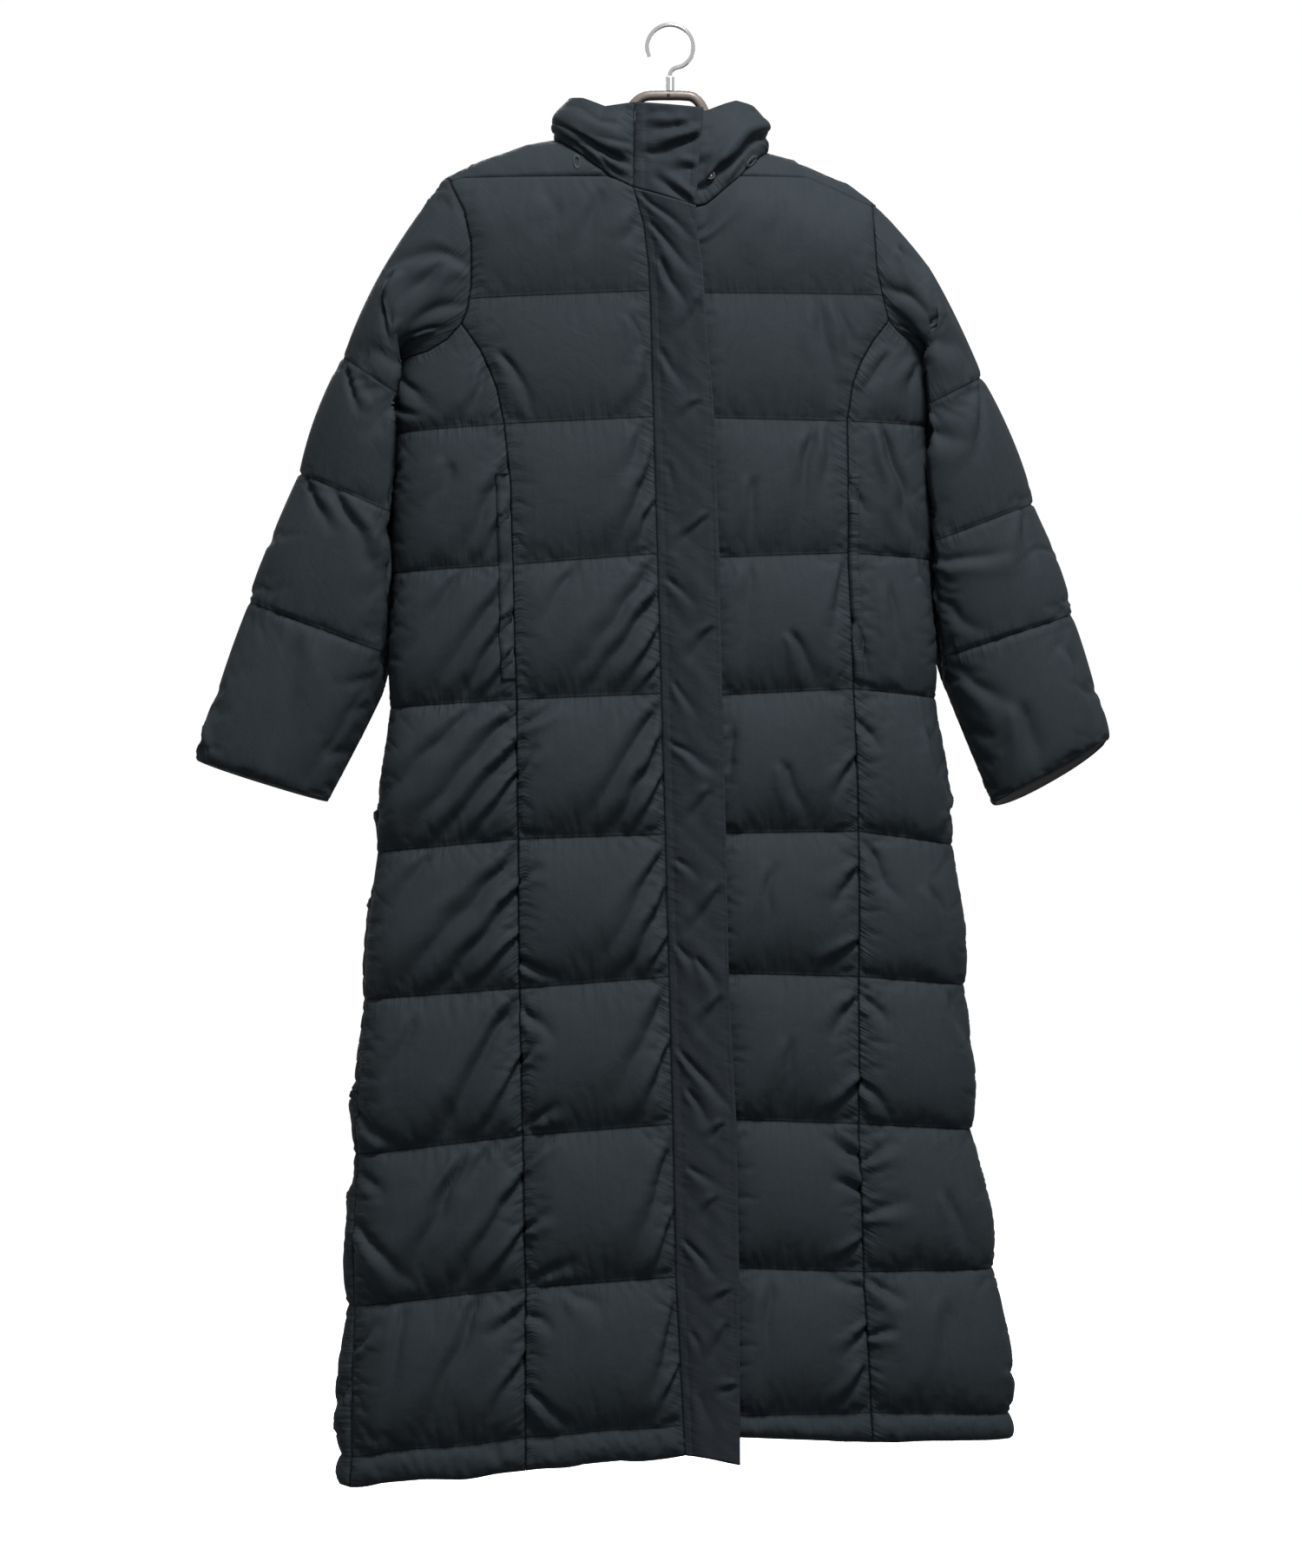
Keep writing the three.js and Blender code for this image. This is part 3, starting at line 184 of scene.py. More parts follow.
SLEEVE = {
    "right": {
        "outX": [-283, -336, -382, -435, -492], "outZ": [-249, -344, -465, -599, -763],
        "inX": [-291, -262, -253, -284, -356], "inZ": [-356, -400, -522, -656, -805],
        "depth": [100, 112, 116, 96, 60], "y": [4, 14, 22, 18, 2],
    },
    "left": {
        "outX": [257, 320, 374, 415, 453], "outZ": [-254, -366, -497, -612, -742],
        "inX": [279, 248, 243, 276, 336], "inZ": [-361, -406, -548, -658, -808],
        "depth": [100, 112, 116, 96, 60], "y": [4, 14, 22, 18, 2],
    },
}
SLEEVE_PUFF = 8.0
SLEEVE_LINE_HOLD = 0.35   # share of the padding left at a sleeve's quilting lines
SLEEVE_ROUNDNESS = 2.2
UNDERARM_FOLD = 20
CAP_LIFT = 1
CUFF_DROP = {"right": 3, "left": 12}
SIDE_CLEARANCE = (20, 30)

# The hanger's moulding hole is not cut: it is painted as a dark disc of shade
HANGER_HOLE = (-1.8, -71.5, 1.9)     # X, Z and radius
HANGER_BAR = {
    "height": 10.6, "depth": 11, "under_ridge": 7.4, "arms": [(-205, -98), (81, 182)],
    "arch": [(-49, -97), (-41, -85), (-34, -76.5), (-26, -72.4), (-15, -71.4), (0, -71.3), (14, -71.6), (23, -73),
             (30, -78.5), (35, -87), (40, -97)],
}
POCKET = {"top": -465, "bottom": -682, "wall": 1.2, "clear": 0.3}
BACK_COLUMNS = [0, 0.04, 0.1, 0.17, 0.25, 0.36, 0.46, 0.56, 0.67, 0.76, 0.84, 0.9, 0.96, 1]
SHOULDER_COLUMNS = 4
YOKE_START = 0.8
INNER_STRIDE = 3      # the plain inside of a wall has one face for this many squared of the outside's

# Finenesses of the cloth's grids
FRONT_GRID = 3.0
BACK_GRID = 5.0
SLEEVE_GRID = 3.6
COLLAR_GRID = 2.5


def lerp(a, b, t):
    return a + (b - a) * t


def sample(table, key, place, column):
    """One column of a table at a place along another, straight between its rows."""
    keys, values = np.asarray(table[key], float), np.asarray(table[column], float)
    if keys[0] > keys[-1]:
        keys, values = keys[::-1], values[::-1]
    return np.interp(place, keys, values)


def section(z):
    """Middle, half width and half depth of the body's hollow at a height."""
    left, right = sample(BODY, "z", z, "left"), sample(BODY, "z", z, "right")
    return (left + right) / 2, (right - left) / 2, sample(BODY, "z", z, "depth")


# Tables of a quarter of the section for several ratios of depth to width, over its arc and its width
RATIOS = np.linspace(0.11, 0.22, 34)
STEPS = 400
EDGE_POWER = 1 / ROUNDNESS


def quarter_tables():
    angles = np.linspace(0, np.pi / 2, 2000)
    xs = np.sin(angles) ** (2 / ROUNDNESS)
    xs[-1] = 1
    shares = np.linspace(0, 1, STEPS + 1)
    totals, x_of, y_of, arc_of = [], [], [], []
    for ratio in RATIOS:
        ys = -ratio * np.clip(np.cos(angles), 0, 1) ** (2 / ROUNDNESS)
        ys[-1] = 0
        arc = np.concatenate([[0], np.cumsum(np.hypot(np.diff(xs), np.diff(ys)))])
        totals.append(arc[-1])
        x_of.append(np.interp(shares * arc[-1], arc, xs))
        y_of.append(np.interp(shares * arc[-1], arc, ys / ratio))
        edge = 1 - shares ** (1 / EDGE_POWER)
        arc_of.append(np.interp(edge, xs, arc) / arc[-1])
    return np.array(totals), np.array(x_of), np.array(y_of), np.array(arc_of)


TOTALS, X_OF, Y_OF, ARC_OF = quarter_tables()


def look_up(tables, ratio, share):
    r = (np.clip(ratio, RATIOS[0], RATIOS[-1]) - RATIOS[0]) / (RATIOS[1] - RATIOS[0])
    s = np.clip(share, 0, 1) * STEPS
    i, j = np.minimum(r.astype(int), len(RATIOS) - 2), np.minimum(s.astype(int), STEPS - 1)
    u, v = r - i, s - j
    low = tables[i, j] * (1 - v) + tables[i, j + 1] * v
    high = tables[i + 1, j] * (1 - v) + tables[i + 1, j + 1] * v
    return low * (1 - u) + high * u


def quarter_total(z):
    _, half, depth = section(z)
    return half * np.interp(depth / half, RATIOS, TOTALS)


def ridge(x):
    return np.interp(x, RIDGE["x"], RIDGE["z"])


def body_point(arc, z):
    """Point of the hollow at an arc length round it, positive to the viewer's right from the front's middle."""
    arc, z = np.broadcast_arrays(np.asarray(arc, float), np.asarray(z, float))
    middle, half, depth = section(z)
    total = quarter_total(z)
    a = np.mod(arc + 2 * total, 4 * total) - 2 * total
    side = np.where(a < 0, -1.0, 1.0)
    behind = np.abs(a) > total
    share = np.where(behind, 2 * total - np.abs(a), np.abs(a)) / total
    ratio = depth / half
    x = middle + side * half * look_up(X_OF, ratio, share)
    y = depth * look_up(Y_OF, ratio, share) * np.where(behind, -1, 1)
    below = np.clip(1 - (ridge(x) - z) / SHOULDER_ROUND, 0, 1)
    return np.stack([x, y * np.sqrt(1 - below * below), z], -1)


def front_arc(x, z):
    x, z = np.broadcast_arrays(np.asarray(x, float), np.asarray(z, float))
    middle, half, depth = section(z)
    offset = np.minimum(np.abs(x - middle) / half, 1)
    share = look_up(ARC_OF, depth / half, (1 - offset) ** EDGE_POWER)
    return np.sign(x - middle) * share * quarter_total(z)


def back_arc(x, z):
    return -2 * quarter_total(z) - front_arc(x, z)


def body_form(x, y, z):
    middle, half, depth = section(z)
    across = np.maximum(0, 1 - np.abs((x - middle) / half) ** ROUNDNESS) ** (2 / ROUNDNESS)
    below = np.clip(1 - (ridge(x) - z) / SHOULDER_ROUND, 0, 2)
    return (y / depth) ** 2 - across * (1 - below * below)


def unit(v):
    return v / np.maximum(np.linalg.norm(v, axis=-1, keepdims=True), 1e-9)


def body_normal(p):
    x, y, z = p[..., 0], p[..., 1], p[..., 2]
    d = 0.02
    return unit(np.stack([
        body_form(x + d, y, z) - body_form(x - d, y, z),
        body_form(x, y + d, z) - body_form(x, y - d, z),
        body_form(x, y, z + d) - body_form(x, y, z - d),
    ], -1))


def channel_rise(v):
    return np.sin(np.pi * np.clip(v, 0, 1) ** 1.35) ** 0.7


def seam_rise(distance):
    return 1 - (1 - np.clip(distance / PUFF_REACH, 0, 1)) ** 2.2


def fill_share(channel):
    """The padding has sunk a little: the chest's channels hold less of it than the lower ones."""
    return np.interp(channel, CHANNEL_FILL["channel"], CHANNEL_FILL["share"])


def count(length, spacing):
    """Number of steps over a length, such that the inside's coarser grid divides it."""
    return INNER_STRIDE * max(1, round(length / spacing / INNER_STRIDE))


class Patch:
    """A grid of cloth seen from outside, rows downwards: plain inner points, outward directions, wall
    thicknesses, places where it is stitched down, the channel that each point is in, its share of the
    way down (v) and across (f), and the flat place of its cloth."""

    def __init__(self, point, normal, wall, pinned, channel, v, f, flat):
        self.point, self.normal, self.wall, self.pinned = point, normal, wall, pinned
        self.channel, self.v, self.f, self.flat = channel, v, f, flat

    def mirrored(self):
        fields = (self.point, self.normal, self.wall, self.pinned, self.channel, self.v, self.f, self.flat)
        return Patch(*[field[:, ::-1] for field in fields])

    def outer(self):
        return self.point + self.normal * self.wall[..., None]


def flat_place(point):
    """Flat place of each point, along its row and down its column."""
    across = np.linalg.norm(np.diff(point, axis=1), axis=2)
    down = np.linalg.norm(np.diff(point, axis=0), axis=2)
    u = np.concatenate([np.zeros((point.shape[0], 1)), np.cumsum(across, 1)], 1)
    v = np.concatenate([np.zeros((1, point.shape[1])), np.cumsum(down, 0)], 0)
    return np.stack([u - u.mean(1, keepdims=True), -v], -1)


def held_rise(distance, hold):
    """Rise beside a seam that keeps a share of it."""
    return hold + (1 - hold) * seam_rise(distance)


def below_armhole(side, hold):
    """Share of the rise that a seam keeps at each height: none beside the armhole."""
    return lambda z: hold * np.clip((ARMHOLE_FRONT[side]["z"][-1] - z) / HOLD_FADE, 0, 1)


def panel(heights, rises, puffs, f, left_edge, right_edge, channels, vs, holds):
    """Patch over a stretch of the body between two vertical seams."""
    start, end = left_edge(heights[:, 0]), right_edge(heights[:, -1])
    arc = lerp(start[:, None], end[:, None], f[None, :])
    point = body_point(arc, heights)
    span = np.abs(end - start)[:, None]
    left_hold, right_hold = holds[0](heights[:, 0])[:, None], holds[1](heights[:, -1])[:, None]
    share = np.minimum(held_rise(f[None, :] * span, left_hold), held_rise((1 - f[None, :]) * span, right_hold))
    wall = SEAM_WALL + puffs[:, None] * rises[:, None] * share
    pinned = np.zeros(wall.shape, bool)
    pinned[:, 0] = pinned[:, -1] = pinned[0] = pinned[-1] = True
    pinned[vs == 0] = True
    spread = np.broadcast_to
    return Patch(point, body_normal(point), wall, pinned, spread(channels[:, None], wall.shape),
                 spread(vs[:, None], wall.shape), spread(f[None, :], wall.shape), flat_place(point))


def rows_below(first, left_key, right_key, spacing, puff):
    """Rows of the channels from a quilting line down to the hem: ends, rises, puffs, channels, shares."""
    left, right, rise, puffs, channels, vs = [], [], [], [], [], []
    for i in range(first, CHANNELS):
        high, low = LINES[left_key][i], LINES[left_key][i + 1]
        n = count(high - low, spacing)
        for k in range(0 if i == first else 1, n + 1):
            v = k / n
            left.append(lerp(high, low, v))
            right.append(lerp(LINES[right_key][i], LINES[right_key][i + 1], v))
            rise.append(0 if k in (0, n) else channel_rise(v))
            puffs.append(HEM_PUFF if i == HEM else puff * fill_share(i))
            channels.append(i)
            vs.append(0 if k == n else v)
    return [np.array(a, float) for a in (left, right, rise, puffs, channels, vs)]


def side_arc(side, z):
    shift = sample(SIDE_SHIFT[side], "z", z, "shift")
    return quarter_total(z) - shift if side == "left" else shift - quarter_total(z)


def outer_seam(side):
    armhole, princess = ARMHOLE_FRONT[side], PRINCESS[side]

    def arc(z):
        x = np.where(z > armhole["z"][-1], sample(armhole, "z", z, "x"), sample(princess, "z", z, "x"))
        return front_arc(x, z)
    return arc


def placket_seam(z):
    return front_arc(sample(PLACKET, "z", z, "seam"), z)


def left_front_edge(z):
    return front_arc(sample(PLACKET, "z", z, "edge") - PLACKET_COVERS, z)


def front_top(x):
    shoulder = np.minimum(SHOULDER_SEAM_Z, ridge(x) - SHOULDER_UNDER_RIDGE)
    in_neck = (x > NECK_FRONT["x"][0]) & (x < NECK_FRONT["x"][-1])
    return np.where(in_neck, np.interp(x, NECK_FRONT["x"], NECK_FRONT["z"]), shoulder) - HALF


def front_centre(side, puff):
    """Centre panel of a front, and the column where its shoulder seam meets the neck."""
    right = side == "right"
    arm_x = ARMHOLE_FRONT[side]["x"][0]
    front_x = NECK_FRONT["x"][1] if right else NECK_FRONT["x"][2]
    from_x, to_x = (arm_x, front_x) if right else (front_x, arm_x)
    neck_f = ((NECK_FRONT["x"][0] if right else NECK_FRONT["x"][-1]) - from_x) / (to_x - from_x)
    left_key, right_key = ("princessR", "frontR") if right else ("frontL", "princessL")
    before = count(neck_f * 180, FRONT_GRID)
    after = count((1 - neck_f) * 180, FRONT_GRID)
    f = np.concatenate([np.linspace(0, neck_f, before + 1), np.linspace(neck_f, 1, after + 1)[1:]])
    below = rows_below(0, left_key, right_key, FRONT_GRID, puff)
    n = count(115, FRONT_GRID)
    top_v = np.arange(n) / n
    top = front_top(lerp(from_x, to_x, f))
    chest = lerp(LINES[left_key][0], LINES[right_key][0], f)
    heights = np.concatenate([
        lerp(top[None, :], chest[None, :], top_v[:, None]),
        lerp(below[0][:, None], below[1][:, None], f[None, :]),
    ])
    rises = np.concatenate([np.where(top_v == 0, 0, channel_rise(top_v)), below[2]])
    puffs = np.concatenate([np.full(n, puff * fill_share(-1)), below[3]])
    channels = np.concatenate([np.full(n, -1.0), below[4]])
    vs = np.concatenate([top_v, below[5]])
    seam = outer_seam(side)
    left_edge = (lambda z: seam(z) + HALF) if right else (lambda z: left_front_edge(z) + HALF)
    right_edge = (lambda z: placket_seam(z) - HALF) if right else (lambda z: seam(z) - HALF)
    outer = below_armhole(side, PRINCESS_HOLD)

    def placket(z):
        return 0.2 + 0 * z
    holds = (outer, placket) if right else (placket, outer)
    return panel(heights, rises, puffs, f, left_edge, right_edge, channels, vs, holds), before


def front_side(side, puff):
    right = side == "right"
    low = ARMHOLE_LOW[side]
    left_key, right_key = ("sideR", "princessR") if right else ("princessL", "sideL")
    f = np.linspace(0, 1, count(155, FRONT_GRID) + 1)
    below = rows_below(1, left_key, right_key, FRONT_GRID, puff)
    n = count(95, FRONT_GRID)
    top_v = np.arange(n) / n
    top = np.interp(lerp(low["x"][0], low["x"][-1], f), low["x"], low["z"])
    line = lerp(LINES[left_key][1], LINES[right_key][1], f)
    heights = np.concatenate([
        lerp(top[None, :], line[None, :], top_v[:, None]),
        lerp(below[0][:, None], below[1][:, None], f[None, :]),
    ])
    rises = np.concatenate([np.where(top_v == 0, 0, channel_rise(top_v)), below[2]])
    puffs = np.concatenate([np.full(n, puff * fill_share(0)), below[3]])
    channels = np.concatenate([np.zeros(n), below[4]])
    vs = np.concatenate([top_v, below[5]])
    seam = outer_seam(side)

    def princess(z):
        return seam(z - 0.01)
    left_edge = (lambda z: side_arc("right", z) + HALF) if right else (lambda z: princess(z) + HALF)
    right_edge = (lambda z: princess(z) - HALF) if right else (lambda z: side_arc("left", z) - HALF)
    holds = (below_armhole(side, SIDE_HOLD), below_armhole(side, PRINCESS_HOLD))
    return panel(heights, rises, puffs, f, left_edge, right_edge, channels, vs, holds if right else holds[::-1])


def back_columns():
    """Places of the back's columns on its coarse ones, which run over the shoulders and the neck."""
    widths = np.diff(BACK_COLUMNS) * 650
    places = [0.0]
    for i, width in enumerate(widths):
        n = count(width, BACK_GRID)
        places.extend(i + (k + 1) / n for k in range(n))
    return np.array(places)


def back_lower(places, puff):
    f = np.interp(places, range(len(BACK_COLUMNS)), BACK_COLUMNS)
    arm_n, side_n = count(70, BACK_GRID), count(68, BACK_GRID)
    arm_v, side_v = np.arange(arm_n) / arm_n, np.arange(side_n) / side_n
    below = rows_below(1, "sideR", "sideL", BACK_GRID, puff)
    left = np.concatenate([lerp(LINES["sideR"][0], UNDERARM["right"], arm_v),
                           lerp(UNDERARM["right"], LINES["sideR"][1], side_v), below[0]])
    right = np.concatenate([lerp(LINES["sideL"][0], UNDERARM["left"], arm_v),
                            lerp(UNDERARM["left"], LINES["sideL"][1], side_v), below[1]])
    vs = np.concatenate([arm_v * 0.5, 0.5 + side_v * 0.5, below[5]])
    rises = np.concatenate([channel_rise(arm_v * 0.5), channel_rise(0.5 + side_v * 0.5), below[2]])
    puffs = np.concatenate([np.full(arm_n + side_n, puff * fill_share(0)), below[3]])
    channels = np.concatenate([np.zeros(arm_n + side_n), below[4]])
    heights = lerp(left[:, None], right[:, None], f[None, :])
    hem = np.zeros(len(channels))
    hem_rows = channels == HEM
    hem[hem_rows] = np.linspace(0.1, 1, hem_rows.sum())
    heights += BACK_HEM_LIFT * hem[:, None] * np.sin(np.pi * f)[None, :]

    def edge(side, z):
        armhole = back_arc(sample(ARMHOLE_BACK[side], "z", z, "x"), z)
        if side == "right":
            return np.where(z > UNDERARM["right"], armhole, side_arc("right", z)) - HALF
        return np.where(z > UNDERARM["left"], armhole, side_arc("left", z) - 4 * quarter_total(z)) + HALF
    patch = panel(heights, rises, puffs, f, lambda z: edge("right", z), lambda z: edge("left", z), channels, vs,
                  (below_armhole("right", SIDE_HOLD), below_armhole("left", SIDE_HOLD)))
    patch.f = np.broadcast_to(places[None, :], patch.wall.shape)
    return patch, arm_n


def back_tops(places):
    """Top ends of the back's columns: on the ridge over the shoulders, on the neck seam between them."""
    last = len(BACK_COLUMNS) - 1
    t = (places - SHOULDER_COLUMNS) / (last - 2 * SHOULDER_COLUMNS)
    x = lerp(NECK_SIDE["right"], NECK_SIDE["left"], t)
    end = np.where(t < 0.5, NECK_SIDE["right"], NECK_SIDE["left"])
    dip = 1 - np.abs((x - NECK_BACK[0]) / (end - NECK_BACK[0])) ** 2
    z = lerp(ridge(end), NECK_BACK[1], dip)
    arm_right, arm_left = ARMHOLE_BACK["right"]["x"][0], ARMHOLE_BACK["left"]["x"][0]
    on_right = places <= SHOULDER_COLUMNS
    on_left = places >= last - SHOULDER_COLUMNS
    x = np.where(on_right, lerp(arm_right, NECK_SIDE["right"], places / SHOULDER_COLUMNS), x)
    x = np.where(on_left, lerp(arm_left, NECK_SIDE["left"], (last - places) / SHOULDER_COLUMNS), x)
    z = np.where(on_right | on_left, ridge(x), z)
    return x, z, on_right | on_left


def shoulder_shares(inward):
    """How far the padding rises beside the armhole and towards the neck, by coarse columns inward."""
    beside = np.concatenate([[0], seam_rise(20 + 14 * np.arange(1, 8))])
    edge = np.interp(inward, range(8), beside)
    neck = np.interp(inward, [SHOULDER_COLUMNS - 1, SHOULDER_COLUMNS], [0, 1])
    return edge, neck


def back_upper(places, chest):
    x_top, z_top, over = back_tops(places)
    last = len(BACK_COLUMNS) - 1
    n = count(150, BACK_GRID)
    q = np.linspace(1, 0, n + 1)[:, None]
    start = chest.point[0]
    z = lerp(start[None, :, 2], z_top[None, :], np.sin(q * np.pi / 2))
    x = lerp(start[None, :, 0], x_top[None, :], q)
    x[:, 0] = sample(ARMHOLE_BACK["right"], "z", z[:, 0], "x") + HALF
    x[:, -1] = sample(ARMHOLE_BACK["left"], "z", z[:, -1], "x") - HALF
    point = body_point(back_arc(x, z), z)
    point[-1] = start
    edge, neck = shoulder_shares(np.minimum(places, last - places))
    rise = channel_rise(np.where(over[None, :], q * YOKE_START, q))
    wall = SEAM_WALL + YOKE_PUFF * rise * edge[None, :] * (1 - neck[None, :] * q ** 3)
    wall[-1] = SEAM_WALL
    normal = body_normal(point)
    normal[-1] = chest.normal[0]
    pinned = np.zeros(wall.shape, bool)
    pinned[:, 0] = pinned[:, -1] = pinned[-1] = True
    pinned[0] = ~over
    v = np.broadcast_to(1 - q, wall.shape)
    return Patch(point, normal, wall, pinned, np.full(wall.shape, -1.0), v,
                 np.broadcast_to(places[None, :], wall.shape), flat_place(point))


def yoke(side, places, front, neck_column):
    """The part of the back that lies in front of the ridge, down to the forward shoulder seam."""
    right = side == "right"
    last = len(BACK_COLUMNS) - 1
    x_top, z_top, _ = back_tops(places)
    inward = places if right else (last - places)[::-1]
    keep = inward <= SHOULDER_COLUMNS
    inward = inward[keep]
    x_top = (x_top if right else x_top[::-1])[keep]
    z_top = (z_top if right else z_top[::-1])[keep]
    seam_points = front.point[0, :neck_column + 1] if right else front.point[0, neck_column:][::-1]
    steps = np.array([0, 0.12, 0.37, 0.65, 1]) if right else np.array([0, 0.12, 0.3, 0.5, 1])
    column = np.interp(inward, range(5), steps) * (len(seam_points) - 1)
    seam_x = np.interp(column, range(len(seam_points)), seam_points[:, 0])
    seam_z = np.interp(column, range(len(seam_points)), seam_points[:, 2])
    n = count(30, FRONT_GRID)
    g = np.linspace(0, 1, n + 1)[:, None]
    down = 1 - np.cos(g * np.pi / 2)
    x = lerp(x_top[None, :], seam_x[None, :], lerp(g, down, inward[None, :] / SHOULDER_COLUMNS))
    z = lerp(z_top[None, :], seam_z[None, :] + GAP, down)
    point = body_point(front_arc(x, z), z)
    edge, neck = shoulder_shares(inward)
    rise = channel_rise(YOKE_START + (1 - YOKE_START) * g)
    rise[-1] = 0
    wall = SEAM_WALL + YOKE_PUFF * rise * edge[None, :] * (1 - neck[None, :])
    wall[0] = SEAM_WALL + YOKE_PUFF * channel_rise(YOKE_START) * edge * (1 - neck)
    pinned = np.zeros(wall.shape, bool)
    pinned[:, 0] = pinned[:, -1] = pinned[-1] = True
    patch = Patch(point, body_normal(point), wall, pinned, np.full(wall.shape, -2.0),
                  np.broadcast_to(g, wall.shape), np.broadcast_to(inward[None, :], wall.shape), flat_place(point))
    return patch if right else patch.mirrored()


def leading_off(points, normals, place):
    """Directions that lead off a piece at its edge, within its surface, towards a place."""
    padded = np.concatenate([points[:1], points, points[-1:]])
    away = unit(np.cross(padded[2:] - padded[:-2], normals))
    return away * np.where((away * (np.array(place) - points)).sum(1, keepdims=True) < 0, -1, 1)


def even_loop(points, normals, n):
    """The loop at n + 1 places evenly along it, and its length up to each."""
    steps = np.linalg.norm(np.diff(points, axis=0), axis=1)
    keep = np.concatenate([[True], steps > 1e-4])
    points, normals = points[keep], normals[keep]
    lengths = np.concatenate([[0], np.cumsum(np.linalg.norm(np.diff(points, axis=0), axis=1))])
    at = np.linspace(0, lengths[-1], n + 1)

    def even(values):
        return np.stack([np.interp(at, lengths, values[:, k]) for k in range(3)], -1)
    return even(points), unit(even(normals)), at


def smooth_row(values, place):
    """Smooth value of a table's column at a row number with a fraction."""
    values = np.asarray(values, float)
    i = int(np.clip(math.floor(place), 0, len(values) - 2))
    t = place - i
    p0, p1, p2, p3 = (values[int(np.clip(k, 0, len(values) - 1))] for k in (i - 1, i, i + 1, i + 2))
    return 0.5 * (2 * p1 + (p2 - p0) * t + (2 * p0 - 5 * p1 + 4 * p2 - p3) * t ** 2
                  + (3 * p1 - p0 - 3 * p2 + p3) * t ** 3)


def oval(v):
    return np.sign(v) * np.abs(v) ** (2 / SLEEVE_ROUNDNESS)


def sleeve_ring(side, place, angles):
    table = SLEEVE[side]
    value = {key: smooth_row(column, place) for key, column in table.items()}
    outer, inner = np.array([value["outX"], 0, value["outZ"]]), np.array([value["inX"], 0, value["inZ"]])
    middle = (outer + inner) / 2
    reach = outer - middle
    reach *= (np.linalg.norm(reach) - SEAM_WALL) / np.linalg.norm(reach)
    point = middle[None, :] - reach[None, :] * oval(np.cos(angles))[:, None]
    point[:, 1] = value["y"] - (value["depth"] / 2 - SEAM_WALL) * oval(np.sin(angles))
    cuff = np.clip(place - len(table["outX"]) + 2, 0, 1) ** 2
    point[:, 2] -= cuff * CUFF_DROP[side] * np.maximum(0, -np.sin(angles))
    return point


def clear_of_body(point, side):
    """Points moved sideways out of the room that the body's padded side needs."""
    middle, half, depth = section(point[..., 2])
    form = (np.abs((point[..., 0] - middle) / (half + SIDE_CLEARANCE[0])) ** ROUNDNESS
            + np.abs(point[..., 1] / (depth + SIDE_CLEARANCE[1])) ** ROUNDNESS)
    inside = (form < 1) & (point[..., 2] <= UNDERARM[side])
    scale = np.where(inside, np.maximum(form, 1e-6) ** (-1 / ROUNDNESS), 1)
    moved = point.copy()
    moved[..., 0] = middle + (point[..., 0] - middle) * scale
    moved[..., 1] = point[..., 1] * scale
    return moved


def sleeve(side, loop_points, loop_normals, top_share):
    """Sleeve from its armhole's edge down to the cuff."""
    away = leading_off(loop_points, loop_normals, SLEEVE_AWAY[side])
    n = count(440, SLEEVE_GRID)
    points, normals, lengths = even_loop(loop_points + away * SEAM_GAP, loop_normals, n)
    away = leading_off(points, normals, SLEEVE_AWAY[side])
    top = top_share * lengths[-1]
    angles = np.where(lengths <= top, np.pi * lengths / top,
                      np.pi * (1 + (lengths - top) / (lengths[-1] - top)))
    turned = np.clip(angles, 0.006, 2 * np.pi - 0.006)
    grid, channels, vs = [points], [0.0], [0.0]
    stations = len(SLEEVE[side]["outX"])
    for i in range(stations):
        rows = count(130, SLEEVE_GRID)
        for k in range(1, rows + 1):
            place = i + k / rows
            ring = sleeve_ring(side, max(place - 1, 0), turned)
            if place < 1:
                inner_side = (turned < np.pi / 2) | (turned > 1.5 * np.pi)
                height = np.where(inner_side, UNDERARM_FOLD, CAP_LIFT)
                fold = height * np.abs(np.cos(turned)) * 4 * place * (1 - place)
                ring = lerp(points, ring, place) + away * fold[:, None]
            grid.append(clear_of_body(ring, side))
            # The cap and the first channel below it are one, from the armhole to the first quilting line
            share = k / rows if i > 1 else (i + k / rows) / 2
            channels.append(float(i if i > 1 else 0))
            vs.append(0.0 if share == 1 else share)
    grid, channels, vs = np.array(grid), np.array(channels), np.array(vs)
    ahead, across = np.gradient(grid, axis=0), np.gradient(grid, axis=1)
    normal = unit(np.cross(ahead, across))
    centre = grid.mean(1, keepdims=True)
    normal *= np.where((normal * (grid - centre)).sum(2, keepdims=True) < 0, -1, 1)
    normal[0] = normals
    rises = np.where(vs == 0, 0, channel_rise(vs))
    depth_down = np.arange(len(vs)) / len(vs)
    held = SLEEVE_LINE_HOLD * np.clip(depth_down / 0.3, 0, 1) * np.clip((1 - depth_down) / 0.08, 0, 1)
    rises = held + (1 - held) * rises
    outside = 0.5 - 0.5 * np.cos(angles)
    seam = seam_rise(np.minimum(lengths, lengths[-1] - lengths) + 6)
    wall = SEAM_WALL + SLEEVE_PUFF * rises[:, None] * (lerp(0.15, 1, outside) * seam)[None, :]
    pinned = np.zeros(wall.shape, bool)
    pinned[vs == 0] = True
    pinned[:, 0] = pinned[:, -1] = True
    patch = Patch(grid, normal, wall, pinned, np.broadcast_to(channels[:, None], wall.shape),
                  np.broadcast_to(vs[:, None], wall.shape),
                  np.broadcast_to((angles / (2 * np.pi))[None, :], wall.shape), flat_place(grid))
    return patch.mirrored() if side == "right" else patch


def collar_top(base):
    angle = np.arctan2(base[..., 1] / 52, (base[..., 0] - COLLAR_TOP["x"]) / 90)
    x = COLLAR_TOP["x"] + COLLAR_TOP["halfWidth"] * np.cos(angle)
    y = COLLAR_TOP["halfDepth"] * np.sin(angle)
    front = sample(COLLAR_HEIGHT, "x", x, "z")
    z = np.where(y < 0, front, lerp(front, COLLAR_BACK_HEIGHT, np.sin(angle)))
    return np.stack([x, y, z], -1)


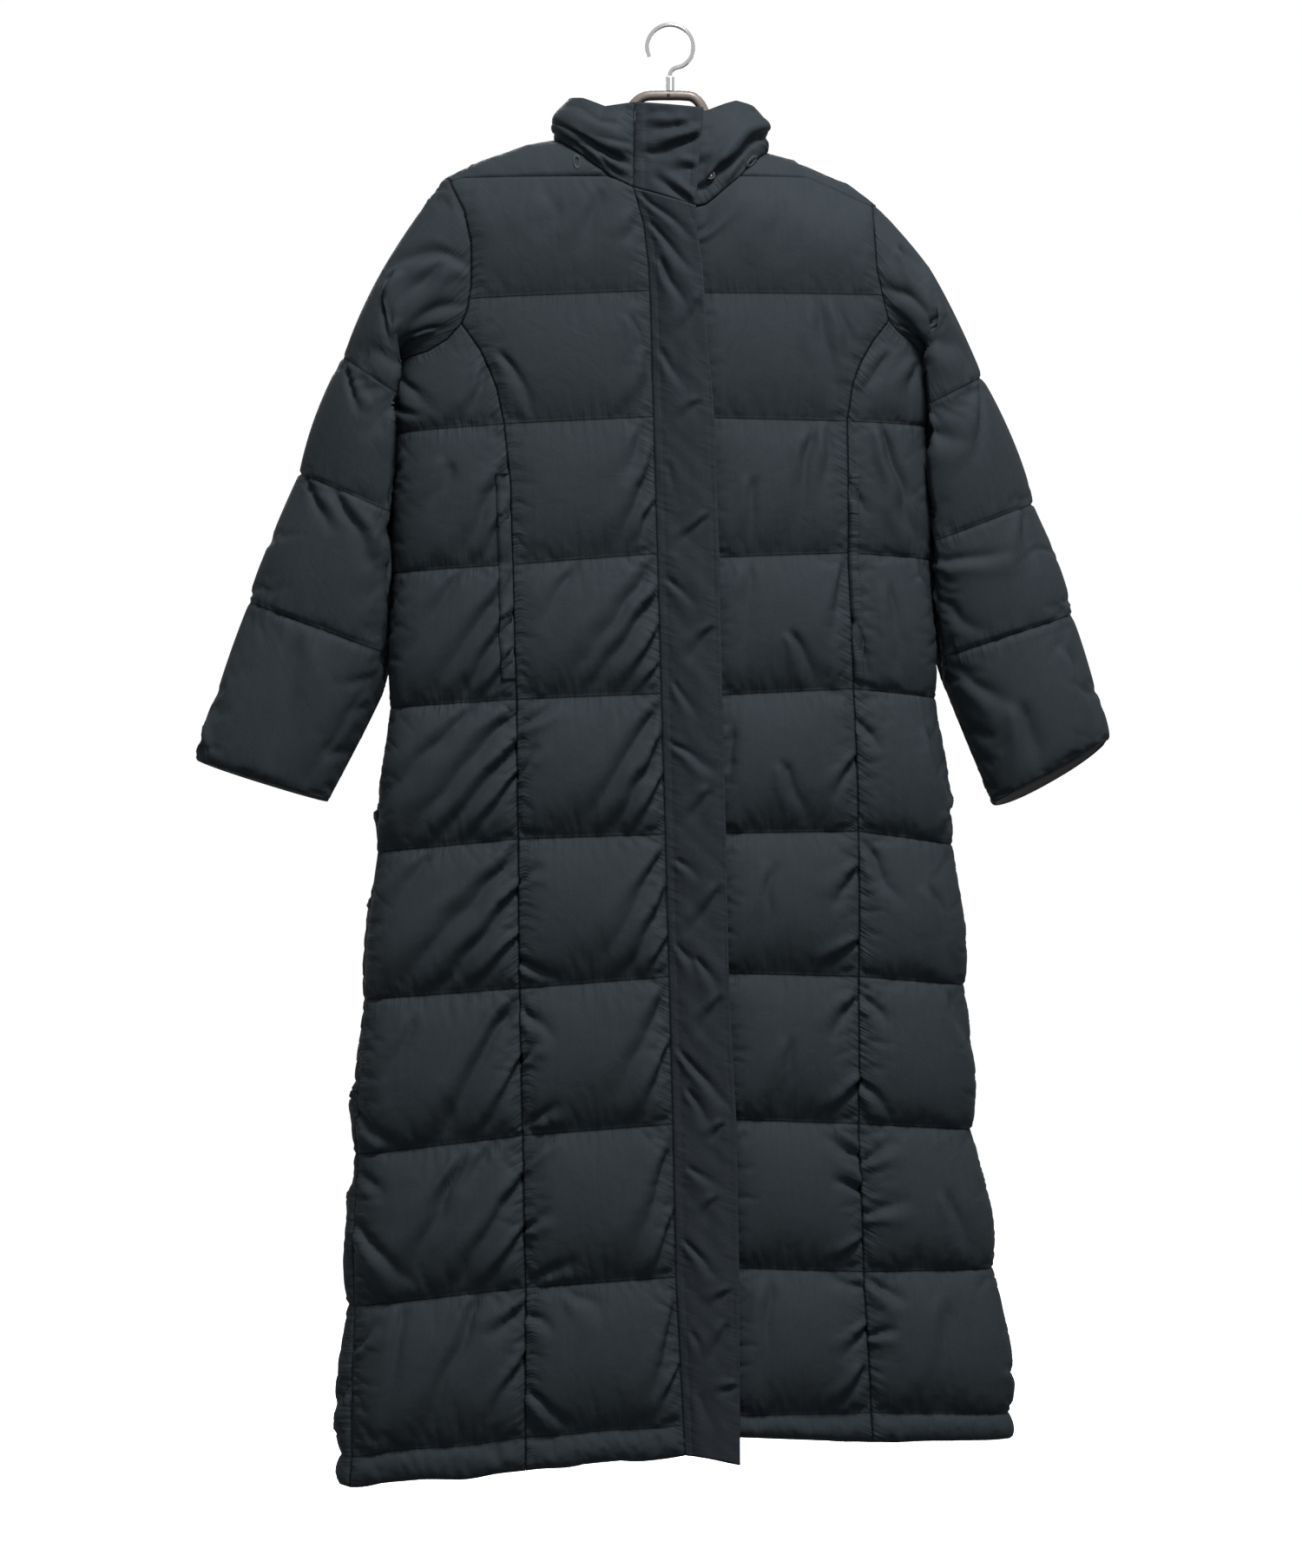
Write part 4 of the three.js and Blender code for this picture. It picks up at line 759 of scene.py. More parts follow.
def collar(loop_points, loop_normals):
    away = leading_off(loop_points, loop_normals, (COLLAR_TOP["x"], 0, -60))
    points, normals, lengths = even_loop(loop_points + away * SEAM_GAP, loop_normals, count(480, COLLAR_GRID))
    n = count(90, COLLAR_GRID)
    v = np.linspace(0, 1, n + 1)
    grid = lerp(points[None], collar_top(points)[None], v[:, None, None])
    normal = unit(np.cross(np.gradient(grid, axis=0), np.gradient(grid, axis=1)))
    out = grid - np.stack([np.full(grid.shape[:2], COLLAR_TOP["x"]), np.zeros(grid.shape[:2]), grid[..., 2]], -1)
    normal *= np.where((normal * out).sum(2, keepdims=True) < 0, -1, 1)
    normal[0] = normals
    ends = seam_rise(np.minimum(lengths, lengths[-1] - lengths))
    rise = channel_rise(1 - v)[:, None] * ends[None, :]
    rise[0] = rise[-1] = 0
    wall = SEAM_WALL + COLLAR_PUFF * rise
    pinned = np.zeros(wall.shape, bool)
    pinned[:, 0] = pinned[:, -1] = pinned[0] = pinned[-1] = True
    patch = Patch(grid[::-1], normal[::-1], wall[::-1], pinned[::-1], np.zeros(wall.shape),
                  np.broadcast_to((1 - v[::-1])[:, None], wall.shape),
                  np.broadcast_to((lengths / lengths[-1])[None, :], wall.shape), flat_place(grid)[::-1])
    return patch.mirrored()


class Outside:
    """The joined outside of a wall's patches: its points, faces and where each patch's points went."""

    def __init__(self, patches):
        self.patches = patches
        index, points, normals, self.ids = {}, [], [], []
        self.pinned, self.channel, self.v, self.f, self.inner = [], [], [], [], []
        for patch in patches:
            outer = patch.outer()
            keys = np.round(patch.point * 20).astype(int)
            ids = np.empty(patch.wall.shape, int)
            for r in range(ids.shape[0]):
                for c in range(ids.shape[1]):
                    key = tuple(keys[r, c])
                    if key not in index:
                        index[key] = len(points)
                        points.append(outer[r, c])
                        normals.append(patch.normal[r, c])
                        self.inner.append(patch.point[r, c])
                        self.pinned.append(patch.pinned[r, c])
                        self.channel.append(patch.channel[r, c])
                        self.v.append(patch.v[r, c])
                        self.f.append(patch.f[r, c])
                    elif patch.pinned[r, c]:
                        self.pinned[index[key]] = True
                    ids[r, c] = index[key]
            self.ids.append(ids)
        self.points, self.normals, self.inner = np.array(points), np.array(normals), np.array(self.inner)
        self.pinned, self.channel = np.array(self.pinned), np.array(self.channel)
        self.v, self.f = np.array(self.v), np.array(self.f)

    def quads(self, stride=1):
        faces, places = [], []
        for patch, ids in zip(self.patches, self.ids):
            i = ids[::stride, ::stride]
            flat = patch.flat[::stride, ::stride] * MM
            quad = np.stack([i[:-1, :-1], i[1:, :-1], i[1:, 1:], i[:-1, 1:]], -1).reshape(-1, 4)
            uv = np.stack([flat[:-1, :-1], flat[1:, :-1], flat[1:, 1:], flat[:-1, 1:]], -2).reshape(-1, 4, 2)
            faces.append(quad)
            places.append(uv)
        return np.concatenate(faces), np.concatenate(places)


def mesh_object(name, points, faces, places, materials, seams=None):
    """Mesh of faces of any size, with the flat place of each corner as its UV map."""
    mesh = bpy.data.meshes.new(name)
    mesh.from_pydata([tuple(p) for p in points * MM], [], faces)
    layer = mesh.uv_layers.new(name="Cloth")
    layer.data.foreach_set("uv", np.concatenate([np.asarray(p, float).ravel() for p in places]))
    if seams is not None:
        layer = mesh.attributes.new("seams", "FLOAT_VECTOR", "POINT")
        layer.data.foreach_set("vector", (seams * MM).ravel())
    for material in materials:
        mesh.materials.append(material)
    mesh.polygons.foreach_set("use_smooth", np.ones(len(faces), bool))
    obj = bpy.data.objects.new(name, mesh)
    bpy.context.scene.collection.objects.link(obj)
    return obj


def seam_distances(outside, line_height):
    """Distance of each point to the nearest quilting line and to the nearest vertical seam."""
    found = np.full((len(outside.points), 3), FAR)
    for ids, patch in zip(outside.ids, outside.patches):
        u = patch.flat[..., 0]
        width = (u.max(1) - u.min(1))[:, None]
        across = (u - u.min(1, keepdims=True)) / np.maximum(width, 1e-6)
        # The shoulder seam is pressed open, so neither tucks nor a painted shadow line are drawn along it
        share = np.select([patch.channel == -2, patch.channel == -1], [1 + 0 * patch.v, 1 - patch.v],
                          np.minimum(patch.v, 1 - patch.v))
        found[ids, 0] = share * line_height
        found[ids, 1] = np.minimum(across, 1 - across) * width
    return found


def wall_object(name, outside, points, materials, seams):
    """Closed wall: the shaped outside, the plain coarser inside and the rims between them."""
    quads, uv = outside.quads()
    quads_kept = [(tuple(q), p) for q, p in zip(quads.tolist(), uv) if len(set(q)) == 4]
    faces = [q for q, _ in quads_kept]
    places = [p for _, p in quads_kept]
    slots = [0] * len(faces)
    edges = set()
    for q in faces:
        edges.update(((q[0], q[1]), (q[1], q[2]), (q[2], q[3]), (q[3], q[0])))
    inner_ids = {}

    def inner(i):
        return inner_ids.setdefault(i, len(points) + len(inner_ids))
    coarse, coarse_uv = outside.quads(INNER_STRIDE)
    for q, p in zip(coarse.tolist(), coarse_uv):
        if len(set(q)) == 4:
            faces.append(tuple(inner(i) for i in reversed(q)))
            places.append(p[::-1])
            slots.append(1)
    s = INNER_STRIDE
    for ids, patch in zip(outside.ids, outside.patches):
        flat = patch.flat * MM
        rims = (np.s_[0], np.s_[-1], np.s_[:, 0], np.s_[:, -1])
        for line, line_uv in ((ids[rim], flat[rim]) for rim in rims):
            for k in range(0, len(line) - 1, s):
                chain, chain_uv = [int(i) for i in line[k:k + s + 1]], line_uv[k:k + s + 1]
                forward = (chain[0], chain[1]) in edges
                backward = (chain[1], chain[0]) in edges
                if forward == backward:
                    continue
                if forward:
                    chain, chain_uv = chain[::-1], chain_uv[::-1]
                faces.append(tuple(chain) + (inner(chain[-1]), inner(chain[0])))
                places.append(np.concatenate([chain_uv, chain_uv[-1:], chain_uv[:1]]))
                slots.append(0)
    inside = np.array([outside.inner[i] for i in inner_ids]).reshape(-1, 3)
    seams = np.concatenate([seams, np.full((len(inside), 3), FAR)])
    obj = mesh_object(name, np.concatenate([points, inside]), faces, places, materials, seams)
    obj.data.polygons.foreach_set("material_index", np.array(slots, np.int32))
    obj.data.update()
    return obj


# Soft, seeded unevenness: a few sines in set directions
def wobble(x, z, wavelength, seed, waves=5):
    rng = np.random.default_rng(seed)
    total = np.zeros(np.shape(x))
    for _ in range(waves):
        angle, phase = rng.uniform(0, 2 * np.pi, 2)
        length = wavelength * rng.uniform(0.7, 1.5)
        total += np.sin((x * math.cos(angle) + z * math.sin(angle)) * 2 * np.pi / length + phase)
    return total / math.sqrt(waves)


def simulate(objects, pins, slack, pressure, frames):
    """Blow the padded cloth up between its pinned stitch lines; the cloth is cut larger by the slack."""
    for obj, pinned in zip(objects, pins):
        group = obj.vertex_groups.new(name="stitched")
        group.add([int(i) for i in np.flatnonzero(pinned)], 1.0, "REPLACE")
        cloth = obj.modifiers.new("Cloth", "CLOTH")
        settings = cloth.settings
        settings.vertex_group_mass = "stitched"
        for key, value in CLOTH_SETTINGS.items():
            setattr(settings, key, value)
        settings.shrink_min = settings.shrink_max = -slack
        settings.uniform_pressure_force = pressure
        settings.effector_weights.gravity = 0.0
        cloth.point_cache.frame_start = 1
        cloth.point_cache.frame_end = frames
    for number in range(1, frames + 1):
        bpy.context.scene.frame_set(number)
    graph = bpy.context.evaluated_depsgraph_get()
    shaped = []
    for obj in objects:
        mesh = obj.evaluated_get(graph).data
        flat = np.empty(len(mesh.vertices) * 3, np.float32)
        mesh.vertices.foreach_get("co", flat)
        shaped.append(flat.reshape(-1, 3).astype(float) / MM)
    bpy.context.scene.frame_set(1)
    return shaped


def vertex_normals(points, quads):
    a, b = points[quads[:, 2]] - points[quads[:, 0]], points[quads[:, 3]] - points[quads[:, 1]]
    face = np.cross(a, b)
    total = np.zeros_like(points)
    for k in range(4):
        np.add.at(total, quads[:, k], face)
    return unit(total)


def colour(text):
    """Linear colour of an sRGB hex value."""
    parts = [int(text[i:i + 2], 16) / 255 for i in (1, 3, 5)]
    return [c / 12.92 if c <= 0.04045 else ((c + 0.055) / 1.055) ** 2.4 for c in parts] + [1.0]


def feed(tree, node, links):
    """Put values or other nodes' outputs on a node's inputs, named or numbered (i0, i1 ...)."""
    for key, value in links.items():
        numbered = key[0] == "i" and key[1:].isdigit()
        socket = node.inputs[int(key[1:]) if numbered else key.replace("_", " ")]
        if isinstance(value, bpy.types.NodeSocket):
            tree.links.new(value, socket)
        else:
            socket.default_value = value


def add_node(tree, kind, settings=None, **links):
    """A node with its settings and its inputs."""
    node = tree.nodes.new(kind)
    for key, value in (settings or {}).items():
        setattr(node, key, value)
    feed(tree, node, links)
    return node


def new_material(name):
    material = bpy.data.materials.new(name)
    material.use_nodes = True
    tree = material.node_tree
    return material, tree, tree.nodes["Principled BSDF"]


def shaded(base, share):
    """A colour made lighter or darker."""
    return [c * share for c in base[:3]] + [1]


def wave_scale(spacing):
    """Scale at which the wave texture's bands lie a spacing apart, in metres."""
    return math.pi / 10 / spacing


def woven_polyester(name, hex_colour, seed, stitch_shadow_share, tuck_height):
    """Matt, tightly woven polyester over padding: a fine plain weave, faint streaks of yarn, and cloth
    that draws into short tucks wherever it is stitched down, with a dark line of painted shadow along each stitched
    groove."""
    material, tree, shader = new_material(name)
    uv = add_node(tree, "ShaderNodeUVMap", {"uv_map": "Cloth"}).outputs["UV"]
    seams = add_node(tree, "ShaderNodeAttribute", {"attribute_name": "seams"}).outputs["Vector"]
    near = add_node(tree, "ShaderNodeSeparateXYZ", None, i0=seams).outputs

    # The real threads are 0.25 mm apart, too fine to show, so the weave is drawn at 1.3 mm
    warp, weft = [
        add_node(tree, "ShaderNodeTexWave", {"bands_direction": axis}, Vector=uv, Scale=wave_scale(0.0013),
                 Distortion=0.6, Detail=1.0).outputs["Fac"]
        for axis in "XY"
    ]
    weave = add_node(tree, "ShaderNodeMath", {"operation": "MULTIPLY"}, i0=warp, i1=weft).outputs[0]
    stretch = add_node(tree, "ShaderNodeMapping", None, Vector=uv, Scale=(240, 24, 1), Location=(seed, seed, 0))
    streaks = add_node(tree, "ShaderNodeTexNoise", None, Vector=stretch.outputs[0], Scale=1.0, Detail=3.0)
    cloudy = add_node(tree, "ShaderNodeTexNoise", None, Vector=uv, Scale=9.0, Detail=4.0)
    crumple = add_node(tree, "ShaderNodeTexNoise", None, Vector=uv, Scale=34.0, Detail=4.0, Distortion=1.2)
    grain = add_node(tree, "ShaderNodeTexNoise", None, Vector=uv, Scale=620.0, Detail=2.0)

    # Tucks 5 to 9 mm apart run off every stitched line, and die out 22 to 24 mm away
    tucks, lines = [], []
    for axis, scale, shift, reach in (
        ("X", (150, 14, 1), (seed, 0, 0), 0.024),
        ("Y", (14, 150, 1), (0, seed, 0), 0.022),
    ):
        place = add_node(tree, "ShaderNodeMapping", None, Vector=uv, Scale=scale, Location=shift).outputs[0]
        fold = add_node(tree, "ShaderNodeTexNoise", None, Vector=place, Scale=1.0, Detail=2.0).outputs["Fac"]
        level = add_node(tree, "ShaderNodeMath", {"operation": "SUBTRACT"}, i0=fold, i1=0.5).outputs[0]
        # 1 on the seam, 0 beyond the reach
        beside, on = [
            add_node(tree, "ShaderNodeMapRange", {"interpolation_type": "SMOOTHSTEP"}, Value=near[axis],
                     From_Max=far, To_Min=1.0, To_Max=0.0).outputs[0]
            for far in (reach, STITCH_WIDTH * MM)
        ]
        tucks.append(add_node(tree, "ShaderNodeMath", {"operation": "MULTIPLY"}, i0=level, i1=beside).outputs[0])
        lines.append(on)
    both = add_node(tree, "ShaderNodeMath", {"operation": "ADD"}, i0=tucks[0], i1=tucks[1]).outputs[0]
    uneven = add_node(tree, "ShaderNodeMapRange", None, Value=cloudy.outputs["Fac"], From_Min=0.35, From_Max=0.65,
                      To_Min=0.35).outputs[0]
    tucked = add_node(tree, "ShaderNodeMath", {"operation": "MULTIPLY"}, i0=both, i1=uneven).outputs[0]
    stitched = add_node(tree, "ShaderNodeMath", {"operation": "MAXIMUM"}, i0=lines[0], i1=lines[1]).outputs[0]

    # Half of the colour's unevenness is grain, a quarter streaks of yarn and a quarter soft clouds
    mixed = streaks.outputs["Fac"]
    for other in (cloudy, grain):
        total = add_node(tree, "ShaderNodeMath", {"operation": "ADD"}, i0=mixed, i1=other.outputs["Fac"]).outputs[0]
        mixed = add_node(tree, "ShaderNodeMath", {"operation": "MULTIPLY"}, i0=total, i1=0.5).outputs[0]
    ramp = add_node(tree, "ShaderNodeValToRGB", None, Fac=mixed)
    base = colour(hex_colour)
    for element, at, share in zip(ramp.color_ramp.elements, (0.35, 0.65), (0.86, 1.14)):
        element.position, element.color = at, shaded(base, share)
    # Along the stitched lines the colour is darkened: painted shadow in the grooves
    sewn = add_node(tree, "ShaderNodeMix", {"data_type": "RGBA"}, Factor=stitched, i6=ramp.outputs["Color"],
                    i7=shaded(base, stitch_shadow_share))
    rough = add_node(tree, "ShaderNodeMapRange", None, Value=weave, To_Min=0.68, To_Max=0.82)
    fine = add_node(tree, "ShaderNodeBump", None, Strength=0.2, Distance=0.0002, Height=weave)
    wide = add_node(tree, "ShaderNodeBump", None, Strength=0.4, Distance=0.002, Height=crumple.outputs["Fac"],
                    Normal=fine.outputs[0])
    drawn = add_node(tree, "ShaderNodeBump", None, Strength=1.0, Distance=tuck_height, Height=tucked,
                     Normal=wide.outputs[0])
    feed(tree, shader, {"Base_Color": sewn.outputs[2], "Roughness": rough.outputs[0], "Normal": drawn.outputs[0],
                        "Specular_IOR_Level": 0.08})
    return material


def smooth_lining(name, hex_colour):
    """Plain taffeta lining: smooth, a little shinier than the shell."""
    material, tree, shader = new_material(name)
    uv = add_node(tree, "ShaderNodeUVMap", {"uv_map": "Cloth"}).outputs["UV"]
    cloudy = add_node(tree, "ShaderNodeTexNoise", None, Vector=uv, Scale=30.0, Detail=4.0).outputs["Fac"]
    ramp = add_node(tree, "ShaderNodeValToRGB", None, Fac=cloudy)
    for element, share in zip(ramp.color_ramp.elements, (0.8, 1.2)):
        element.color = shaded(colour(hex_colour), share)
    bump = add_node(tree, "ShaderNodeBump", None, Strength=0.3, Distance=0.001, Height=cloudy)
    feed(tree, shader, {"Base_Color": ramp.outputs["Color"], "Roughness": 0.5, "Normal": bump.outputs[0]})
    return material


def surface(tree, shader, shade, stops, grain, roughness, strength, depth):
    """Colour that follows one pattern, with roughness and bump that follow another. Returns the colour."""
    ramp = add_node(tree, "ShaderNodeValToRGB", None, Fac=shade)
    elements = ramp.color_ramp.elements
    for element, (at, text) in zip(elements, (stops[0], stops[-1])):
        element.position, element.color = at, colour(text)
    for at, text in stops[1:-1]:
        elements.new(at).color = colour(text)
    rough = add_node(tree, "ShaderNodeMapRange", None, Value=grain, To_Min=roughness[0], To_Max=roughness[1])
    bump = add_node(tree, "ShaderNodeBump", None, Strength=strength, Distance=depth, Height=grain)
    feed(tree, shader, {"Base_Color": ramp.outputs["Color"], "Roughness": rough.outputs[0],
                        "Normal": bump.outputs[0]})
    return ramp.outputs["Color"]


def polished_chrome():
    """Chrome-plated steel wire, drawn and polished: bright, with fine rubbed marks from rods."""
    material, tree, shader = new_material("Polished chrome wire")
    place = add_node(tree, "ShaderNodeTexCoord").outputs["Object"]
    # Rub marks are 0.05 mm wide, too fine to show, so they are drawn at 0.7 mm
    marks = add_node(tree, "ShaderNodeTexNoise", None, Vector=place, Scale=1400.0, Detail=3.0).outputs["Fac"]
    surface(tree, shader, marks, ((0.0, "#c9c9cb"), (1.0, "#e2e2e4")), marks,
            roughness=(0.08, 0.22), strength=0.15, depth=0.0001)
    feed(tree, shader, {"Metallic": 1.0})
    return material


def moulded_plastic(hole):
    """Polystyrene hanger, injection moulded: satin, faintly mottled, with its small moulding hole painted as a dark
    disc of shade.
    """
    material, tree, shader = new_material("Moulded polystyrene hanger")
    place = add_node(tree, "ShaderNodeTexCoord").outputs["Object"]
    mottle = add_node(tree, "ShaderNodeTexNoise", None, Vector=place, Scale=120.0, Detail=4.0).outputs["Fac"]
    grain = add_node(tree, "ShaderNodeTexNoise", None, Vector=place, Scale=1200.0, Detail=2.0).outputs["Fac"]
    plastic = surface(tree, shader, mottle, ((0.0, "#5d544f"), (1.0, "#7a706a")), grain,
                      roughness=(0.28, 0.42), strength=0.12, depth=0.0002)
    middle = add_node(tree, "ShaderNodeMapping", {"vector_type": "POINT"}, Vector=place,
                      Location=(-hole[0] * MM, 0, -hole[1] * MM), Scale=(1, 0, 1))
    away = add_node(tree, "ShaderNodeVectorMath", {"operation": "LENGTH"}, i0=middle.outputs[0]).outputs["Value"]
    # Inside the hole's radius the colour is a painted dark shade standing for the hole
    inside = add_node(tree, "ShaderNodeMath", {"operation": "LESS_THAN"}, i0=away, i1=hole[2] * MM)
    mixed = add_node(tree, "ShaderNodeMix", {"data_type": "RGBA"}, Factor=inside.outputs[0], i6=plastic,
                     i7=colour("#1b1816"))
    feed(tree, shader, {"Base_Color": mixed.outputs[2]})
    return material


def ringed_snap_metal(middle):
    """Brass snap, stamped: its colour runs in rings, pale in the middle, dark round it and grey at the rim."""
    material, tree, shader = new_material("Ringed brass snap")
    place = add_node(tree, "ShaderNodeTexCoord").outputs["Object"]
    wear = add_node(tree, "ShaderNodeTexNoise", None, Vector=place, Scale=900.0, Detail=3.0).outputs["Fac"]
    centred = add_node(tree, "ShaderNodeVectorMath", {"operation": "SUBTRACT"}, i0=place, i1=tuple(middle))
    away = add_node(tree, "ShaderNodeVectorMath", {"operation": "LENGTH"}, i0=centred.outputs[0]).outputs["Value"]
    uneven = add_node(tree, "ShaderNodeMath", {"operation": "MULTIPLY_ADD"}, i0=wear, i1=0.0008, i2=away)
    # The colours run from the snap's middle (0) to its rim (1)
    scaled = add_node(tree, "ShaderNodeMath", {"operation": "MULTIPLY"}, i0=uneven.outputs[0], i1=180.0)
    rings = ((0.0, "#b9b7b0"), (0.38, "#a19f99"), (0.48, "#1c1d1f"), (0.7, "#26282b"), (1.0, "#77787a"))
    surface(tree, shader, scaled.outputs[0], rings, wear, roughness=(0.3, 0.5), strength=0.2, depth=0.0001)
    feed(tree, shader, {"Metallic": 1.0})
    return material


def twisted_cord():
    """Braided polyester cord: dark and matt, with a slanting ply."""
    material, tree, shader = new_material("Braided polyester cord")
    place = add_node(tree, "ShaderNodeTexCoord").outputs["Object"]
    # The ply is 0.6 mm apart
    ply = add_node(tree, "ShaderNodeTexWave", {"bands_direction": "DIAGONAL"}, Vector=place,
                   Scale=wave_scale(0.0006), Distortion=1.0, Detail=2.0).outputs["Fac"]
    surface(tree, shader, ply, ((0.0, "#14161a"), (1.0, "#262a2f")), ply,
            roughness=(0.6, 0.8), strength=0.5, depth=0.0002)
    return material


def finish_node(name, material):
    """Give a carried-over node its finish."""
    for obj in bpy.data.objects:
        if obj.type == "MESH" and (obj.name == name or obj.name.startswith(name + ".")):
            for slot in obj.material_slots:
                slot.material = material


def strip_points(x, z, lift):
    point = body_point(front_arc(x, z), z)
    normal = body_normal(point)
    return point + normal * lift[..., None], normal


def collar_strip_points(x, neck_z, v, lift):
    base = body_point(front_arc(x, neck_z), neck_z)
    top = collar_top(base)
    point = lerp(base, top, v[..., None])
    lean = np.minimum(1, 2 * v)[..., None]
    normal = unit(lerp(body_normal(base), np.array([0.0, -1, 0]), lean))
    return point + normal * lift[..., None], normal


def strip_patch(point, normal, wall, v, f, lift=0.0):
    pinned = np.ones(v.shape, bool)
    patch = Patch(point, normal, np.full(v.shape, wall), pinned, np.zeros(v.shape), v, f, flat_place(point))
    # What lies under a lifted strip leaves this much room for its creases to sink
    patch.room = np.maximum(np.broadcast_to(lift, v.shape) - 4, 0) + 0.6 * wall
    return patch


def placket_patch():
    seam, edge = [], []
    lefts = [PLACKET_TOP[0]] + LINES["frontR"]
    rights = [PLACKET_TOP[1]] + LINES["frontR"]
    lefts[-1], rights[-1] = PLACKET_HEM
    for i in range(len(lefts) - 1):
        n = count(lefts[i] - lefts[i + 1], COLLAR_GRID)
        share = np.arange(0 if i == 0 else 1, n + 1) / n
        seam.append(lerp(lefts[i], lefts[i + 1], share))
        edge.append(lerp(rights[i], rights[i + 1], share))
    seam, edge = np.concatenate(seam), np.concatenate(edge)
    f = np.linspace(0, 1, count(66, COLLAR_GRID) + 1)[None, :]
    z = lerp(seam[:, None], edge[:, None], f)
    x = lerp(sample(PLACKET, "z", z, "seam") - HALF + 0.03, sample(PLACKET, "z", z, "edge"), f)
    lift = np.broadcast_to(np.interp(f, PLACKET_LIFT["f"], PLACKET_LIFT["lift"]), z.shape)
    point, normal = strip_points(x, z, lift)
    v = np.broadcast_to(np.linspace(0, 1, len(seam))[:, None], z.shape)
    return strip_patch(point, normal, FLAT_WALL, v, np.broadcast_to(f, z.shape), lift)


def collar_flap_patch():
    v = np.linspace(1, 0, count(90, COLLAR_GRID) + 1)[:, None]
    f = np.linspace(0, 1, count(66, COLLAR_GRID) + 1)[None, :]
    v, f = np.broadcast_arrays(v, f)
    neck_z = lerp(PLACKET_TOP[0], PLACKET_TOP[1], f)
    x = lerp(sample(PLACKET, "z", neck_z, "seam") + HALF, sample(PLACKET, "z", neck_z, "edge"), f)
    lift = np.interp(f, PLACKET_LIFT["f"], PLACKET_LIFT["lift"])
    point, normal = collar_strip_points(x, neck_z, v, lift)
    point[..., 0] += COLLAR_FLAP_LEAN * v * f
    point[..., 2] += GAP * 1.5
    return strip_patch(point, normal, FLAT_WALL, 1 - v, f, lift)


def underlap_patch():
    f = np.linspace(0, 1, count(46, 4.0) + 1)[None, :]

    def ends(z):
        return (sample(PLACKET, "z", z, "seam") + UNDERLAP_START,
                sample(PLACKET, "z", z, "edge") - PLACKET_COVERS - HALF)
    neck_z = LEFT_FRONT_TOP
    v = np.linspace(1, 0, count(90, 4.0) + 1)[:, None]
    v, fs = np.broadcast_arrays(v, f)
    start, end = ends(neck_z)
    top = collar_strip_points(lerp(start, end - 1, fs), np.full(v.shape, float(neck_z)), v, np.zeros(v.shape))
    rows = count(neck_z - LINES["frontL"][-1], 6.0)
    z = np.broadcast_to(np.linspace(neck_z, LINES["frontL"][-1], rows + 1)[1:, None], (rows, f.shape[1]))
    start, end = ends(z)
    below = strip_points(lerp(start, end, f), z, np.zeros(z.shape))
    point, normal = np.concatenate([top[0], below[0]]), np.concatenate([top[1], below[1]])
    v = np.broadcast_to(np.linspace(0, 1, len(point))[:, None], point.shape[:2])
    return strip_patch(point, normal, FLAT_WALL, v, np.broadcast_to(f, point.shape[:2]))


def welt_patch(side, outer, normals, z):
    """Welt on the points of a side panel, beside its princess seam."""
    rows = (z < POCKET["top"]) & (z > POCKET["bottom"])
    keep = INNER_STRIDE * ((rows.sum() - 1) // INNER_STRIDE) + 1
    outer, normals = outer[rows][:keep], normals[rows][:keep]
    last = outer.shape[1] - 1
    at = np.linspace(last * 0.9, last, 4) if side == "right" else np.linspace(0, last * 0.1, 4)
    low = np.minimum(at.astype(int), last - 1)
    t = (at - low)[None, :, None]
    normal = unit(normals[:, low] * (1 - t) + normals[:, low + 1] * t)
    point = outer[:, low] * (1 - t) + outer[:, low + 1] * t + normal * POCKET["clear"]
    v = np.broadcast_to(np.linspace(0, 1, keep)[:, None], point.shape[:2])
    f = np.broadcast_to(np.linspace(0, 1, 4)[None, :], point.shape[:2])
    return strip_patch(point, normal, POCKET["wall"], v, f)
